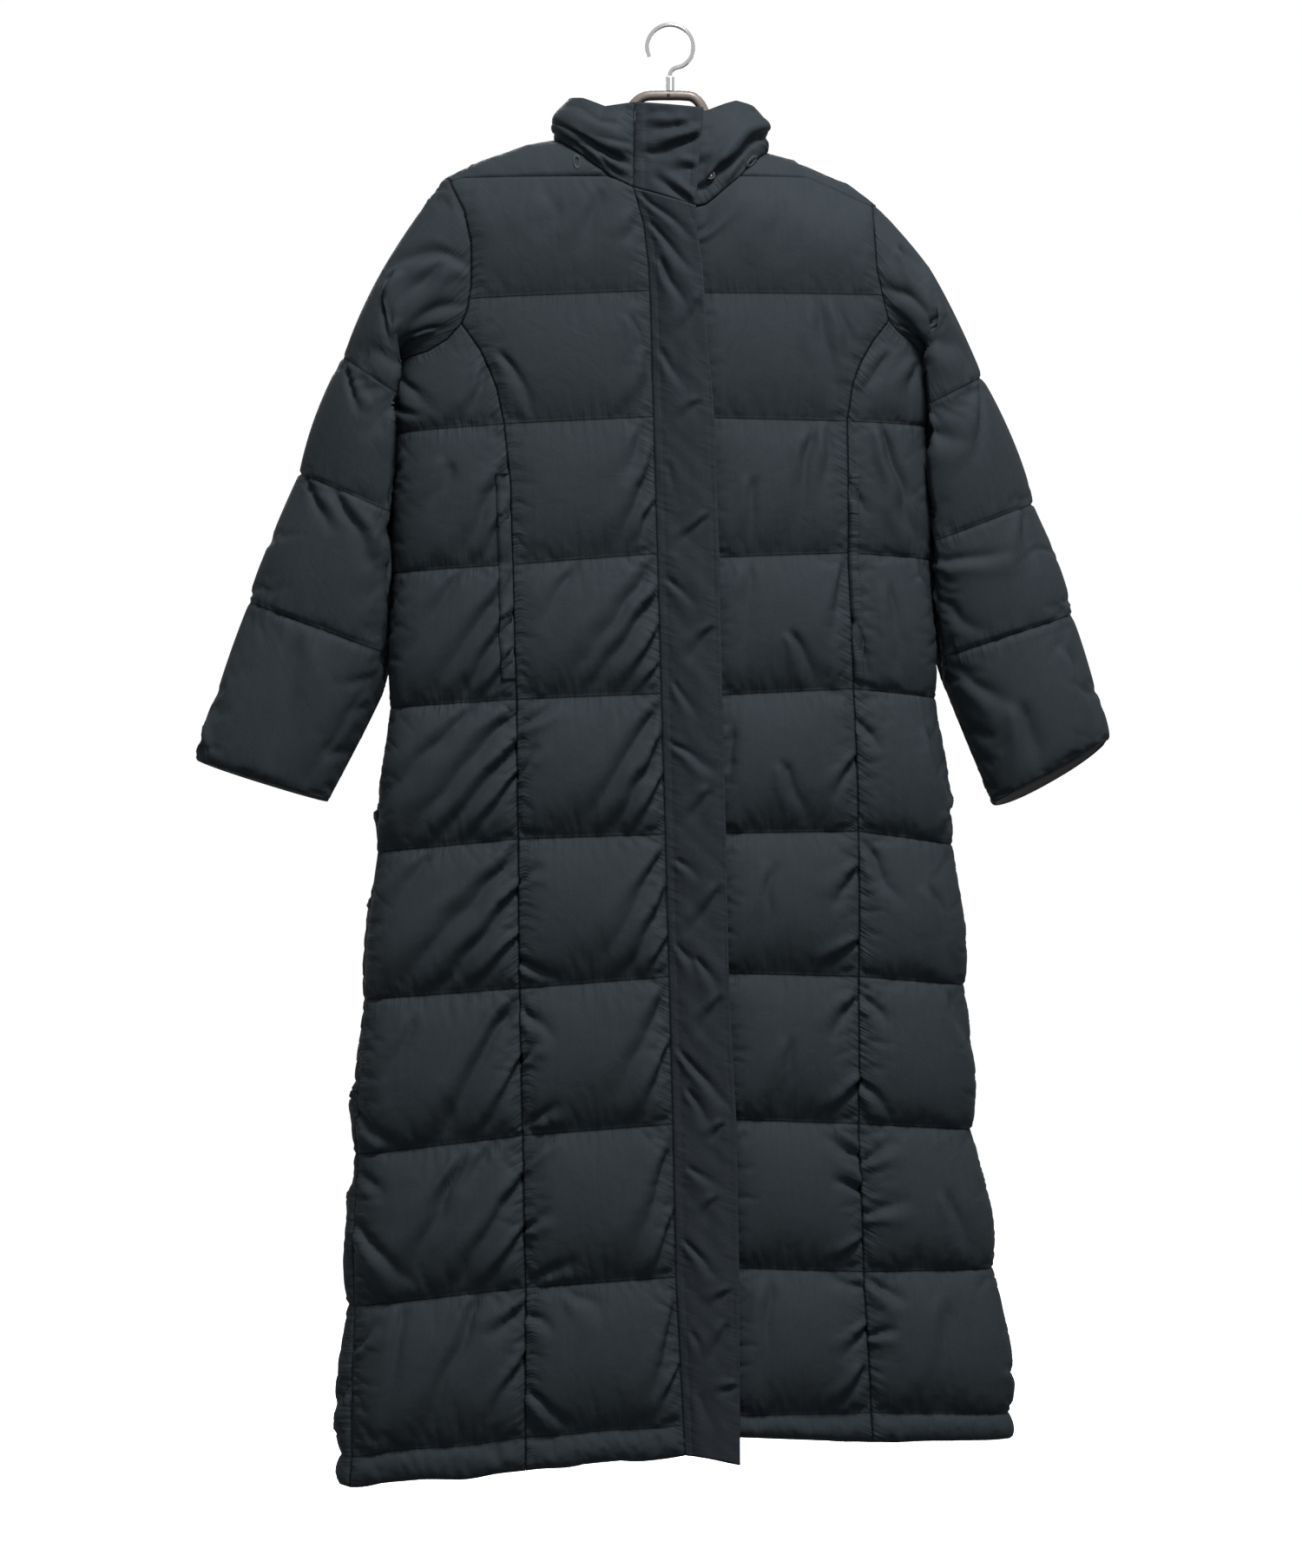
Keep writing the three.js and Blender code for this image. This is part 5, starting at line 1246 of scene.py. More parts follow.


# Creases, ridges and troughs laid in one channel of a panel: channel, start and end as shares
# across (f) and down (v), half width and depth; a minus depth is a ridge
CREASES = {
    "front_centre_right": [
        (-1, 0.55, 0.05, 0.42, 0.5, 12, 1.5), (-1, 0.8, 0.15, 0.62, 0.6, 9, 1.8), (-1, 0.98, 0.3, 0.86, 0.55, 6, 2.0),
        (0, 0.97, 0.55, 0.8, 0.95, 8, 2.2), (0, 1.0, 0.25, 0.9, 0.6, 6, 1.6), (0, 0.12, 0.5, 0.2, 0.95, 9, 1.6),
        (1, 1.0, 0.3, 0.72, 0.92, 8, 2.6), (1, 1.0, 0.6, 0.86, 0.9, 5, 2.6), (1, 0.95, 0.08, 0.8, 0.45, 8, 1.8),
        (2, 1.0, 0.02, 0.38, 0.9, 10, 2.6), (2, 1.0, 0.28, 0.5, 0.97, 8, 3.2), (2, 1.0, 0.55, 0.76, 0.95, 6, 3.2),
        (2, 0.42, 0.05, 0.2, 0.45, 8, 1.8), (2, 0.98, 0.8, 0.86, 0.97, 4, 2.4),
        (3, 1.0, 0.04, 0.5, 0.85, 9, 2.8), (3, 1.0, 0.32, 0.66, 0.95, 7, 3.4), (3, 1.0, 0.6, 0.82, 0.97, 5, 3.0),
        (3, 0.04, 0.2, 0.3, 0.02, 6, 2.0), (3, 0.0, 0.55, 0.14, 0.35, 5, 1.8),
        (4, 1.0, 0.1, 0.6, 0.8, 9, 2.6), (4, 1.0, 0.42, 0.72, 0.96, 7, 3.0), (4, 0.0, 0.82, 0.26, 0.97, 6, 2.6),
        (4, 0.0, 0.3, 0.16, 0.2, 5, 1.8), (4, 1.0, 0.72, 0.88, 0.97, 4, 2.6),
        (5, 1.0, 0.06, 0.66, 0.72, 9, 2.8), (5, 1.0, 0.48, 0.78, 0.96, 6, 3.0), (5, 0.0, 0.12, 0.22, 0.34, 6, 2.2),
        (5, 0.0, 0.5, 0.12, 0.36, 5, 2.2), (5, 0.04, 0.92, 0.24, 0.8, 6, 2.4),
        (6, 1.0, 0.12, 0.72, 0.85, 9, 2.6), (6, 1.0, 0.6, 0.84, 0.97, 5, 2.8), (6, 0.0, 0.2, 0.2, 0.02, 5, 2.4),
        (6, 0.0, 0.62, 0.16, 0.5, 5, 2.2), (6, 0.06, 0.95, 0.34, 0.84, 7, 2.2),
        (7, 0.98, 0.2, 0.8, 0.9, 8, 2.2), (7, 0.0, 0.15, 0.18, 0.3, 6, 2.2), (7, 0.3, 0.04, 0.5, 0.2, 8, 1.6),
        (7, 0.05, 0.72, 0.3, 0.97, 7, 2.4), (7, 1.0, 0.6, 0.86, 0.95, 5, 2.4),
    ],
    "front_side_right": [
        (0, 0.1, 0.2, 0.5, 0.75, 9, 1.8), (0, 0.0, 0.55, 0.34, 0.82, 6, 2.6), (0, 1.0, 0.4, 0.8, 0.9, 7, 2.0),
        (1, 1.0, 0.25, 0.66, 0.9, 8, 2.4), (1, 1.0, 0.58, 0.82, 0.95, 5, 2.8), (1, 0.0, 0.22, 0.22, 0.05, 5, 2.2),
        (1, 0.0, 0.4, 0.14, 0.22, 5, 2.2), (1, 0.55, 0.3, 0.4, 0.62, 10, 1.4),
        (2, 1.0, 0.05, 0.44, 0.9, 9, 2.6), (2, 1.0, 0.35, 0.62, 0.96, 7, 3.2), (2, 1.0, 0.65, 0.8, 0.96, 5, 3.0),
        (2, 0.62, 0.04, 0.24, 0.6, 9, 2.0), (2, 0.0, 0.3, 0.14, 0.1, 5, 2.0),
        (3, 1.0, 0.02, 0.24, 0.95, 10, 3.0), (3, 1.0, 0.3, 0.5, 0.97, 7, 3.4), (3, 0.66, 0.04, 0.06, 0.7, 9, 2.4),
        (3, 1.0, 0.55, 0.74, 0.96, 5, 3.0),
        (4, 1.0, 0.04, 0.28, 0.9, 10, 3.2), (4, 1.0, 0.34, 0.52, 0.97, 7, 3.4), (4, 0.4, 0.08, 0.12, 0.5, 8, 2.0),
        (4, 1.0, 0.66, 0.76, 0.97, 5, 3.0),
        (5, 0.98, 0.04, 0.52, 0.97, 9, 4.0), (5, 0.34, 0.2, 0.2, 0.62, 8, 1.6), (5, 0.0, 0.75, 0.26, 0.97, 7, 2.8),
        (5, 1.0, 0.5, 0.78, 0.95, 5, 3.0),
        (6, 0.62, 0.18, 0.34, 0.82, 9, 3.6), (6, 1.0, 0.25, 0.62, 0.9, 7, 3.0), (6, 0.05, 0.5, 0.34, 0.86, 8, 2.8),
        (6, 0.0, 0.1, 0.2, 0.28, 6, 2.2), (6, 1.0, 0.62, 0.8, 0.95, 5, 3.0), (6, 0.8, 0.04, 0.66, 0.3, 7, 2.4),
        (7, 0.72, 0.06, 0.42, 0.9, 9, 3.0), (7, 0.3, 0.08, 0.22, 0.8, 8, 1.8), (7, 1.0, 0.12, 0.8, 0.3, 6, 3.4),
        (7, 1.0, 0.45, 0.82, 0.8, 5, 3.0), (7, 0.0, 0.3, 0.16, 0.14, 6, 2.4),
    ],
    "front_centre_left": [
        (-1, 0.02, 0.35, 0.3, 0.05, 8, 2.0), (-1, 0.5, 0.15, 0.44, 0.7, 12, 1.2),
        (0, 0.72, 0.05, 0.8, 0.8, 9, 1.8), (0, 0.86, 0.1, 0.94, 0.7, 7, 1.8),
        (1, 0.74, 0.15, 0.62, 0.85, 9, 1.8), (1, 0.9, 0.02, 0.82, 0.6, 7, 1.8), (1, 0.34, 0.5, 0.28, 0.95, 9, 1.4),
        (2, 0.6, 0.6, 0.76, 0.95, 8, 2.0), (2, 0.96, 0.1, 0.86, 0.6, 6, 2.0), (2, 0.3, 0.15, 0.22, 0.7, 10, 1.2),
        (3, 0.99, 0.5, 0.82, 0.75, 6, 2.2), (3, 0.5, 0.55, 0.66, 0.95, 8, 1.6), (3, 0.14, 0.3, 0.06, 0.8, 8, 1.6),
        (4, 1.0, 0.28, 0.8, 0.5, 7, 2.4), (4, 0.98, 0.78, 0.74, 0.95, 6, 2.6), (4, 0.4, 0.3, 0.3, 0.9, 10, 1.4),
        (5, 1.0, 0.15, 0.8, 0.4, 6, 2.6), (5, 1.0, 0.72, 0.78, 0.95, 6, 2.8), (5, 0.5, 0.5, 0.42, 0.95, 9, 1.4),
        (6, 1.0, 0.22, 0.74, 0.1, 7, 3.0), (6, 1.0, 0.45, 0.8, 0.36, 6, 2.8), (6, 0.98, 0.8, 0.8, 0.95, 5, 2.4),
        (7, 0.98, 0.12, 0.72, 0.04, 6, 2.6), (7, 1.0, 0.4, 0.82, 0.6, 6, 2.4), (7, 0.96, 0.7, 0.8, 0.95, 6, 2.4),
        (7, 0.3, 0.2, 0.24, 0.85, 10, 1.4),
    ],
    "front_side_left": [
        (0, 0.2, 0.3, 0.1, 0.9, 8, 1.8), (0, 0.6, 0.2, 0.66, 0.8, 9, 1.6), (1, 0.36, 0.08, 0.72, 0.95, 8, 3.4),
        (1, 0.0, 0.5, 0.2, 0.7, 6, 2.4), (1, 0.9, 0.1, 0.95, 0.7, 6, 2.0),
        (2, 0.74, 0.04, 0.92, 0.5, 6, 3.0), (2, 0.0, 0.5, 0.14, 0.85, 5, 2.6), (2, 0.4, 0.3, 0.5, 0.9, 9, 1.4),
        (3, 0.0, 0.2, 0.2, 0.4, 6, 2.2), (3, 0.7, 0.3, 0.9, 0.8, 8, 1.8), (3, 0.98, 0.7, 0.8, 0.95, 5, 2.4),
        (4, 0.02, 0.05, 0.3, 0.45, 7, 2.4), (4, 0.6, 0.4, 0.75, 0.9, 9, 1.6),
        (5, 0.0, 0.1, 0.2, 0.3, 6, 2.6), (5, 0.0, 0.7, 0.24, 0.92, 6, 2.4), (5, 0.7, 0.1, 0.9, 0.5, 9, 1.6),
        (6, 0.0, 0.25, 0.24, 0.12, 6, 2.8), (6, 0.02, 0.6, 0.3, 0.5, 7, 2.0), (6, 0.6, 0.5, 0.75, 0.95, 9, 1.6),
        (7, 0.0, 0.05, 0.24, 0.2, 6, 3.2), (7, 0.0, 0.45, 0.16, 0.4, 5, 2.6), (7, 0.5, 0.3, 0.42, 0.9, 10, 1.4),
        (7, 0.86, 0.7, 0.98, 0.86, 6, 2.0),
    ],
    "back": [
        (-1, 0.1, 0.45, 0.24, 0.9, 10, 2.4), (-1, 0.9, 0.5, 0.8, 0.95, 9, 2.6), (-1, 0.42, 0.1, 0.36, 0.7, 14, 1.4),
        (-1, 0.6, 0.2, 0.66, 0.85, 12, 1.2), (0, 0.03, 0.3, 0.18, 0.85, 8, 2.8), (0, 0.98, 0.25, 0.84, 0.7, 9, 2.6),
        (0, 0.5, 0.3, 0.46, 0.95, 12, 1.4), (1, 0.0, 0.3, 0.12, 0.6, 8, 2.6), (1, 1.0, 0.2, 0.9, 0.7, 7, 2.8),
        (1, 0.3, 0.4, 0.36, 0.95, 11, 1.6), (1, 0.72, 0.05, 0.66, 0.5, 10, 1.4), (2, 0.0, 0.1, 0.1, 0.5, 7, 3.0),
        (2, 1.0, 0.5, 0.88, 0.9, 8, 2.6), (2, 0.55, 0.5, 0.6, 0.97, 10, 1.8), (3, 0.0, 0.6, 0.13, 0.9, 8, 2.8),
        (3, 1.0, 0.15, 0.91, 0.6, 7, 3.0), (3, 0.22, 0.05, 0.28, 0.6, 11, 1.6), (3, 0.8, 0.4, 0.74, 0.95, 11, 1.6),
        (4, 0.0, 0.2, 0.09, 0.5, 7, 2.8), (4, 1.0, 0.6, 0.9, 0.95, 7, 2.6), (4, 0.45, 0.1, 0.5, 0.7, 12, 1.4),
        (5, 0.0, 0.45, 0.12, 0.85, 8, 3.0), (5, 1.0, 0.1, 0.88, 0.45, 8, 2.8), (5, 0.34, 0.5, 0.3, 0.96, 10, 1.6),
        (6, 0.0, 0.1, 0.1, 0.35, 7, 2.8), (6, 1.0, 0.4, 0.9, 0.8, 7, 3.0), (6, 0.68, 0.05, 0.62, 0.6, 11, 1.8),
        (7, 0.0, 0.5, 0.1, 0.9, 8, 2.6), (7, 1.0, 0.15, 0.9, 0.5, 7, 2.6), (7, 0.2, 0.1, 0.26, 0.8, 11, 1.6),
        (7, 0.5, 0.4, 0.54, 0.96, 10, 1.6),
    ],
    # On a sleeve f runs from the underarm (0) over the front to the outer edge (0.5) and round the back
    "sleeve_right": [
        (0, 0.42, 0.01, 0.36, 0.55, 8, 4.0), (0, 0.3, 0.05, 0.2, 0.35, 7, 3.0), (0, 0.2, 0.15, 0.12, 0.45, 5, 3.2),
        (0, 0.14, 0.25, 0.06, 0.475, 5, 3.0), (0, 0.36, 0.2, 0.24, 0.475, 8, 2.4), (0, 0.66, 0.05, 0.72, 0.45, 9, 3.0),
        (0, 0.2, 0.525, 0.06, 0.8, 8, 3.2), (0, 0.32, 0.51, 0.2, 0.7, 6, 3.0), (0, 0.08, 0.7, 0.3, 0.95, 8, 2.6),
        (0, 0.8, 0.6, 0.7, 0.9, 9, 2.6), (2, 0.36, 0.04, 0.28, 0.34, 6, 3.2), (2, 0.16, 0.02, 0.26, 0.5, 7, 2.8),
        (2, 0.04, 0.5, 0.2, 0.95, 8, 2.6), (2, 0.9, 0.3, 0.76, 0.8, 9, 2.4), (3, 0.4, 0.02, 0.3, 0.3, 6, 3.0),
        (3, 0.3, 0.05, 0.18, 0.5, 8, 2.4), (3, 0.08, 0.1, 0.2, 0.7, 8, 2.2), (3, 0.7, 0.1, 0.64, 0.8, 10, 2.2),
        (4, 0.44, 0.75, 0.38, 0.98, 6, 3.0), (4, 0.3, 0.2, 0.22, 0.8, 10, 1.8), (4, 0.1, 0.1, 0.14, 0.8, 9, 1.8),
    ],
    "sleeve_left": [
        (0, 0.34, 0.01, 0.24, 0.55, 8, 3.8), (0, 0.2, 0.1, 0.1, 0.4, 6, 3.2), (0, 0.44, 0.25, 0.36, 0.49, 8, 2.6),
        (0, 0.1, 0.2, 0.05, 0.475, 5, 3.2), (0, 0.66, 0.05, 0.7, 0.45, 9, 3.0), (0, 0.1, 0.525, 0.34, 0.9, 8, 3.0),
        (0, 0.42, 0.51, 0.34, 0.75, 8, 2.4), (0, 0.06, 0.75, 0.16, 0.975, 7, 3.0), (0, 0.78, 0.6, 0.7, 0.9, 9, 2.6),
        (2, 0.06, 0.05, 0.26, 0.4, 7, 3.4), (2, 0.36, 0.02, 0.3, 0.5, 7, 2.6), (2, 0.1, 0.5, 0.2, 0.95, 8, 3.0),
        (2, 0.86, 0.3, 0.76, 0.8, 9, 2.4), (3, 0.05, 0.04, 0.3, 0.3, 7, 3.2), (3, 0.4, 0.05, 0.36, 0.5, 8, 2.4),
        (3, 0.12, 0.4, 0.2, 0.9, 8, 2.2), (3, 0.7, 0.1, 0.64, 0.8, 10, 2.2), (4, 0.1, 0.05, 0.22, 0.4, 7, 2.8),
        (4, 0.42, 0.3, 0.4, 0.95, 9, 2.0), (4, 0.24, 0.5, 0.2, 0.98, 8, 2.2),
    ],
    # On the collar f runs from the right front round the back to the left front, and v down from its top
    "collar": [
        (0, -0.02, 0.78, 0.3, 0.62, 6, 6.0), (0, 0.0, 0.5, 0.12, 0.6, 5, 3.0), (0, 0.02, 0.98, 0.14, 0.7, 4, 3.0),
        (0, 0.05, 0.3, 0.2, 0.2, 8, 2.4), (0, 0.1, 0.95, 0.22, 0.75, 4, 3.0), (0, 0.3, 0.6, 0.46, 0.72, 7, 3.4),
        (0, 0.5, 0.66, 0.68, 0.6, 7, 3.4), (0, 1.02, 0.84, 0.72, 0.56, 6, 7.0), (0, 0.97, 0.98, 0.88, 0.8, 4, 3.0),
        (0, 0.98, 0.3, 0.86, 0.22, 8, 2.2), (0, 0.99, 0.6, 0.86, 0.46, 7, 2.6), (0, 0.82, 0.95, 0.8, 0.66, 4, 3.0),
    ],
    "placket": [
        (0, 0.1, 0.004, 0.8, 0.03, 5, 1.0), (0, 0.2, 0.03, 0.7, 0.062, 6, 1.3), (0, 0.25, 0.06, 0.62, 0.1, 7, 1.5),
        (0, 0.85, 0.09, 0.5, 0.115, 6, 0.9), (0, 0.2, 0.13, 0.5, 0.16, 6, 0.9), (0, 0.75, 0.17, 0.45, 0.185, 6, 0.8),
        (0, 0.22, 0.22, 0.4, 0.25, 7, 0.8), (0, 0.8, 0.262, 0.3, 0.285, 5, 1.0), (0, 0.2, 0.31, 0.62, 0.33, 6, 1.0),
        (0, 0.85, 0.35, 0.45, 0.372, 6, 1.1), (0, 0.25, 0.392, 0.6, 0.418, 5, 0.9), (0, 0.2, 0.44, 0.85, 0.458, 5, 1.2),
        (0, 0.75, 0.478, 0.35, 0.5, 6, 1.0), (0, 0.22, 0.53, 0.55, 0.545, 5, 1.0),
        (0, 0.85, 0.556, 0.35, 0.588, 6, 1.2),
        (0, 0.2, 0.6, 0.5, 0.622, 5, 1.2), (0, 0.5, 0.612, 0.82, 0.634, 5, 1.2), (0, 0.8, 0.642, 0.5, 0.668, 6, 1.1),
        (0, 0.2, 0.685, 0.86, 0.722, 5, 1.6), (0, 0.3, 0.715, 0.62, 0.738, 5, 1.3), (0, 0.8, 0.74, 0.6, 0.752, 4, 1.2),
        (0, 0.3, 0.775, 0.75, 0.79, 6, 0.9), (0, 0.7, 0.8, 0.5, 0.815, 6, 0.9), (0, 0.22, 0.835, 0.66, 0.862, 5, 1.4),
        (0, 0.85, 0.872, 0.55, 0.885, 5, 1.0), (0, 0.78, 0.9, 0.5, 0.925, 6, 1.0), (0, 0.25, 0.905, 0.4, 0.93, 6, 0.8),
        (0, 0.9, 0.945, 0.6, 0.952, 4, 1.2), (0, 0.3, 0.955, 0.5, 0.975, 6, 0.7),
    ],
    "collar_flap": [
        (0, 0.98, 0.3, 0.1, 0.66, 7, 3.0), (0, 0.98, 0.98, 0.35, 0.84, 5, 2.4), (0, 0.7, 0.2, 0.15, 0.34, 6, 1.2),
        (0, 0.95, 0.62, 0.5, 0.74, 6, 1.4), (0, 0.16, 0.58, 0.5, 0.5, 4, 1.2), (0, 0.2, 0.14, 0.5, 0.08, 5, 0.8),
    ],
}


def channel_creases(outside, name, amount, height):
    """How far each point of a panel sinks in its creases."""
    sink = np.zeros(len(outside.points))
    for ids, patch in zip(outside.ids, outside.patches):
        u = patch.flat[..., 0]
        width = (u.max(1) - u.min(1))[:, None]
        x, y = patch.f / patch.f.max() * width, patch.v * height
        for number, (channel, f0, v0, f1, v1, half_width, depth) in enumerate(CREASES[name]):
            rows = np.flatnonzero(patch.channel[:, 0] == channel)
            if not len(rows) or patch.channel[0, 0] == -2:
                continue
            r = slice(rows[0], rows[-1] + 1)
            w = width[rows].mean()
            start, end = np.array([f0 * w, v0 * height]), np.array([f1 * w, v1 * height])
            way = end - start
            length = np.linalg.norm(way)
            way = way / length
            px, py = x[r] - start[0], y[r] - start[1]
            along = (px * way[0] + py * way[1]) / length
            across = px * way[1] - py * way[0] + 0.22 * half_width * wobble(x[r], y[r], 46, 100 + number)
            spread = half_width * (0.6 + 0.75 * np.clip(along, 0, 1))
            fade = np.clip(1.15 - along, 0, 1) ** 0.8 * np.clip((along + 0.18) / 0.18, 0, 1) * (along < 1.15)
            trough = np.exp(-np.abs(across / (0.75 * spread)) ** 1.5)
            profile = trough - 0.6 * np.exp(-((across + 1.7 * spread) / (1.1 * spread)) ** 2)
            sink[ids[r]] += amount * depth * fade * profile
    return sink


def collar_roll(outside):
    """How far each point of the collar is pushed in under its rolled bulge, minus where it bulges out."""
    fold = np.interp(outside.f, COLLAR_FOLD["f"], COLLAR_FOLD["v"]) + 0.03 * wobble(outside.f * 420, 0, 70, 8)
    above = np.clip(outside.v / np.maximum(fold - 0.1, 0.1), 0, 1)
    bulge = np.sin(above * np.pi / 2) ** 1.5 * np.clip((fold + 0.03 - outside.v) / 0.13, 0, 1) ** 0.6
    beneath = np.exp(-((outside.v - fold - 0.05) / 0.07) ** 2)
    ends = np.clip(np.minimum(outside.f / 0.04, (1 - outside.f) / 0.12), 0, 1)
    return (2.0 * beneath - COLLAR_BULGE * bulge) * ends


def behind_fittings(points):
    """The collar's points moved back where the snap and the cord loops sit, as cloth held flat by them."""
    moved = points.copy()
    for name, reach in FITTING_FLAT.items():
        low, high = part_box(name)
        x, z, back = (low[0] + high[0]) / 2 / MM, (low[2] + high[2]) / 2 / MM, high[1] / MM
        away = np.hypot(points[:, 0] - x, points[:, 2] - z)
        near = np.clip((reach[1] - away) / (reach[1] - reach[0]), 0, 1) * (points[:, 1] < 0)
        moved[:, 1] += near * np.clip(back - GAP - moved[:, 1], 0, FITTING_SINK)
    return moved


def stitch_puckers(outside, seed, depth):
    """Short tucks that run off the stitch lines and seams, uneven in length and spacing."""
    sink = np.zeros(len(outside.points))
    for ids, patch in zip(outside.ids, outside.patches):
        u, down = patch.flat[..., 0], -patch.flat[..., 1]
        for share, side in ((patch.v, 1), (1 - patch.v, 2)):
            away = share * CHANNEL_HEIGHT
            reach = 13 + 7 * wobble(u, 0 * u, 60, seed + 3 * side)
            tuck = wobble(u, 0.15 * down + patch.channel * 37, 15, seed + side) + 0.6 * wobble(
                u, patch.channel * 91.0, 34, seed + 10 + side)
            # Tucks below a line are half as deep as those above the next one
            amount = (0.5 if side == 1 else 1.0) * depth
            sink[ids] += amount * tuck * np.exp(-away / np.maximum(reach, 4)) * np.clip(away / 3.0, 0, 1)
        width = (u.max(1) - u.min(1))[:, None]
        for share, side in ((patch.f, 3), (1 - patch.f, 4)):
            away = np.clip(share, 0, 1) * width
            tuck = wobble(down, patch.channel * 13.0, 17, seed + side)
            sink[ids] += 0.8 * depth * tuck * np.exp(-away / 11) * np.clip(away / 3.0, 0, 1)
    return sink


PATCHES = {}
SHAPES = {}


def shape_patches(puff):
    """All patches of the body, and the loops that sleeves and collar are sewn to."""
    centre_right, neck_right = front_centre("right", puff)
    centre_left, neck_left = front_centre("left", puff)
    side_right, side_left = front_side("right", puff), front_side("left", puff)
    places = back_columns()
    lower, arm_rows = back_lower(places, puff)
    upper = back_upper(places, lower)
    yoke_right = yoke("right", places, centre_right, neck_right)
    yoke_left = yoke("left", places, centre_left, neck_left)
    # The ridge row is shared by the back and the yokes
    columns = yoke_right.wall.shape[1]
    yoke_right.point[0], yoke_right.normal[0] = upper.point[0, :columns], upper.normal[0, :columns]
    columns = yoke_left.wall.shape[1]
    yoke_left.point[0], yoke_left.normal[0] = upper.point[0, -columns:], upper.normal[0, -columns:]
    yoke_right.wall[0], yoke_left.wall[0] = upper.wall[0, :yoke_right.wall.shape[1]], upper.wall[0, -columns:]
    PATCHES.update({
        "front_centre_right": [centre_right], "front_side_right": [side_right],
        "front_centre_left": [centre_left], "front_side_left": [side_left],
        "back": [upper.mirrored(), lower.mirrored(), yoke_right, yoke_left],
    })
    for side, centre, beside, shoulder in (("right", centre_right, side_right, yoke_right),
                                           ("left", centre_left, side_left, yoke_left)):
        edge = 0 if side == "right" else -1
        rows = np.flatnonzero(centre.point[:, edge, 2] > ARMHOLE_FRONT[side]["z"][-1])
        pieces = []
        for patch, index in (
            (beside, (0, slice(None) if side == "right" else slice(None, None, -1))),
            (centre, (rows[::-1], edge)),
            (shoulder, (slice(-2, None, -1), edge)),
            (upper, (slice(1, None), edge)),
            (lower, (slice(1, arm_rows + 1), edge)),
        ):
            pieces.append((patch.point[index], patch.normal[index]))
        loop = np.concatenate([p for p, _ in pieces])
        normals = np.concatenate([n for _, n in pieces])
        top = sum(len(p) for p, _ in pieces[:3]) - 1
        lengths = np.concatenate([[0], np.cumsum(np.linalg.norm(np.diff(loop, axis=0), axis=1))])
        PATCHES["sleeve_" + side] = [sleeve(side, loop, normals, lengths[top] / lengths[-1])]
    over = (places >= SHOULDER_COLUMNS) & (places <= len(BACK_COLUMNS) - 1 - SHOULDER_COLUMNS)
    neck = [
        (centre_right.point[0, :neck_right - 1:-1], centre_right.normal[0, :neck_right - 1:-1]),
        (yoke_right.point[-2:0:-1, -1], yoke_right.normal[-2:0:-1, -1]),
        (upper.point[0, over], upper.normal[0, over]),
        (yoke_left.point[1:-1, 0], yoke_left.normal[1:-1, 0]),
        (centre_left.point[0, neck_left::-1], centre_left.normal[0, neck_left::-1]),
    ]
    PATCHES["collar"] = [collar(np.concatenate([p for p, _ in neck]), np.concatenate([n for _, n in neck]))]
    return PATCHES


def materials():
    cloth = bpy.context.scene.coat_cloth
    made = bpy.data.materials
    if "Woven polyester shell" not in made:
        # The shell's stitched lines get a dark painted shadow, the facing's a faint one
        woven_polyester("Woven polyester shell", cloth.shell_hex, seed=3, stitch_shadow_share=0.25,
                         tuck_height=0.004)
        woven_polyester("Woven polyester facing", cloth.facing_hex, seed=11, stitch_shadow_share=0.7,
                         tuck_height=0.0012)
        smooth_lining("Taffeta lining", cloth.lining_hex)
    return made["Woven polyester shell"], made["Woven polyester facing"], made["Taffeta lining"]


def hem_waves(points, outside):
    """Small rise and fall of the hem, alike on both sides of each seam."""
    below = np.clip((HEM_WAVES["start"] - outside.inner[:, 2]) / HEM_WAVES["grow_over"], 0, 1)
    waves = wobble(points[:, 0], 3 * np.sign(points[:, 1]), 110, 61) + 0.5 * wobble(points[:, 0], points[:, 1], 40, 62)
    return HEM_WAVES["height"] * below * waves


def padded_piece(names, seeds, cap):
    """Padded panels: blown up by no more than the cap, creased, and closed with a plain inside."""
    cloth = bpy.context.scene.coat_cloth
    shell, _, lining = materials()
    outsides = {name: Outside(PATCHES[name]) for name in names}
    flat_objects = []
    for name, outside in outsides.items():
        quads, uv = outside.quads()
        keep = [k for k, q in enumerate(quads.tolist()) if len(set(q)) == 4]
        outside.kept = quads[keep]
        flat_objects.append(mesh_object(name + "_blown", outside.points, [tuple(q) for q in outside.kept.tolist()],
                                        [uv[k] for k in keep], []))
    shaped = simulate(flat_objects, [o.pinned for o in outsides.values()], cloth.slack, cloth.pressure,
                      cloth.frames)
    made = {}
    for obj, (name, outside), points, seed in zip(flat_objects, outsides.items(), shaped, seeds):
        data = obj.data
        bpy.data.objects.remove(obj)
        bpy.data.meshes.remove(data)
        moved = (points - outside.points) * fill_share(outside.channel)[:, None]
        length = np.linalg.norm(moved, axis=1, keepdims=True)
        points = outside.points + moved * cap * np.tanh(length / cap) / np.maximum(length, 1e-6)
        normals = vertex_normals(points, outside.kept)
        sink = stitch_puckers(outside, seed, cloth.pucker / MM)
        if name in CREASES:
            share = COLLAR_CREASES if name == "collar" else 1
            crease_height = COLLAR_CREASE_HEIGHT if name == "collar" else CHANNEL_HEIGHT
            sink += channel_creases(outside, name, share * cloth.creases, crease_height)
        if name == "collar":
            points = points - outside.normals * collar_roll(outside)[:, None]
            normals = vertex_normals(points, outside.kept)
        height = ((points - outside.inner) * outside.normals).sum(1)
        room = np.clip((height - SEAM_WALL) / 6, 0, 1)
        sink = np.minimum(sink * room, np.maximum(height - LEAST_WALL, 0))
        points = points - normals * sink[:, None]
        points[:, 2] += hem_waves(points, outside)
        if name == "collar":
            points = behind_fittings(points)
        SHAPES[name] = (outside, points)
        line_height = COLLAR_LINE_HEIGHT if name == "collar" else CHANNEL_HEIGHT
        made[name] = wall_object(name + "_cloth", outside, points, [shell, lining],
                                 seam_distances(outside, line_height))
        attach(made[name], "root")
        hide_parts(name)
    return made


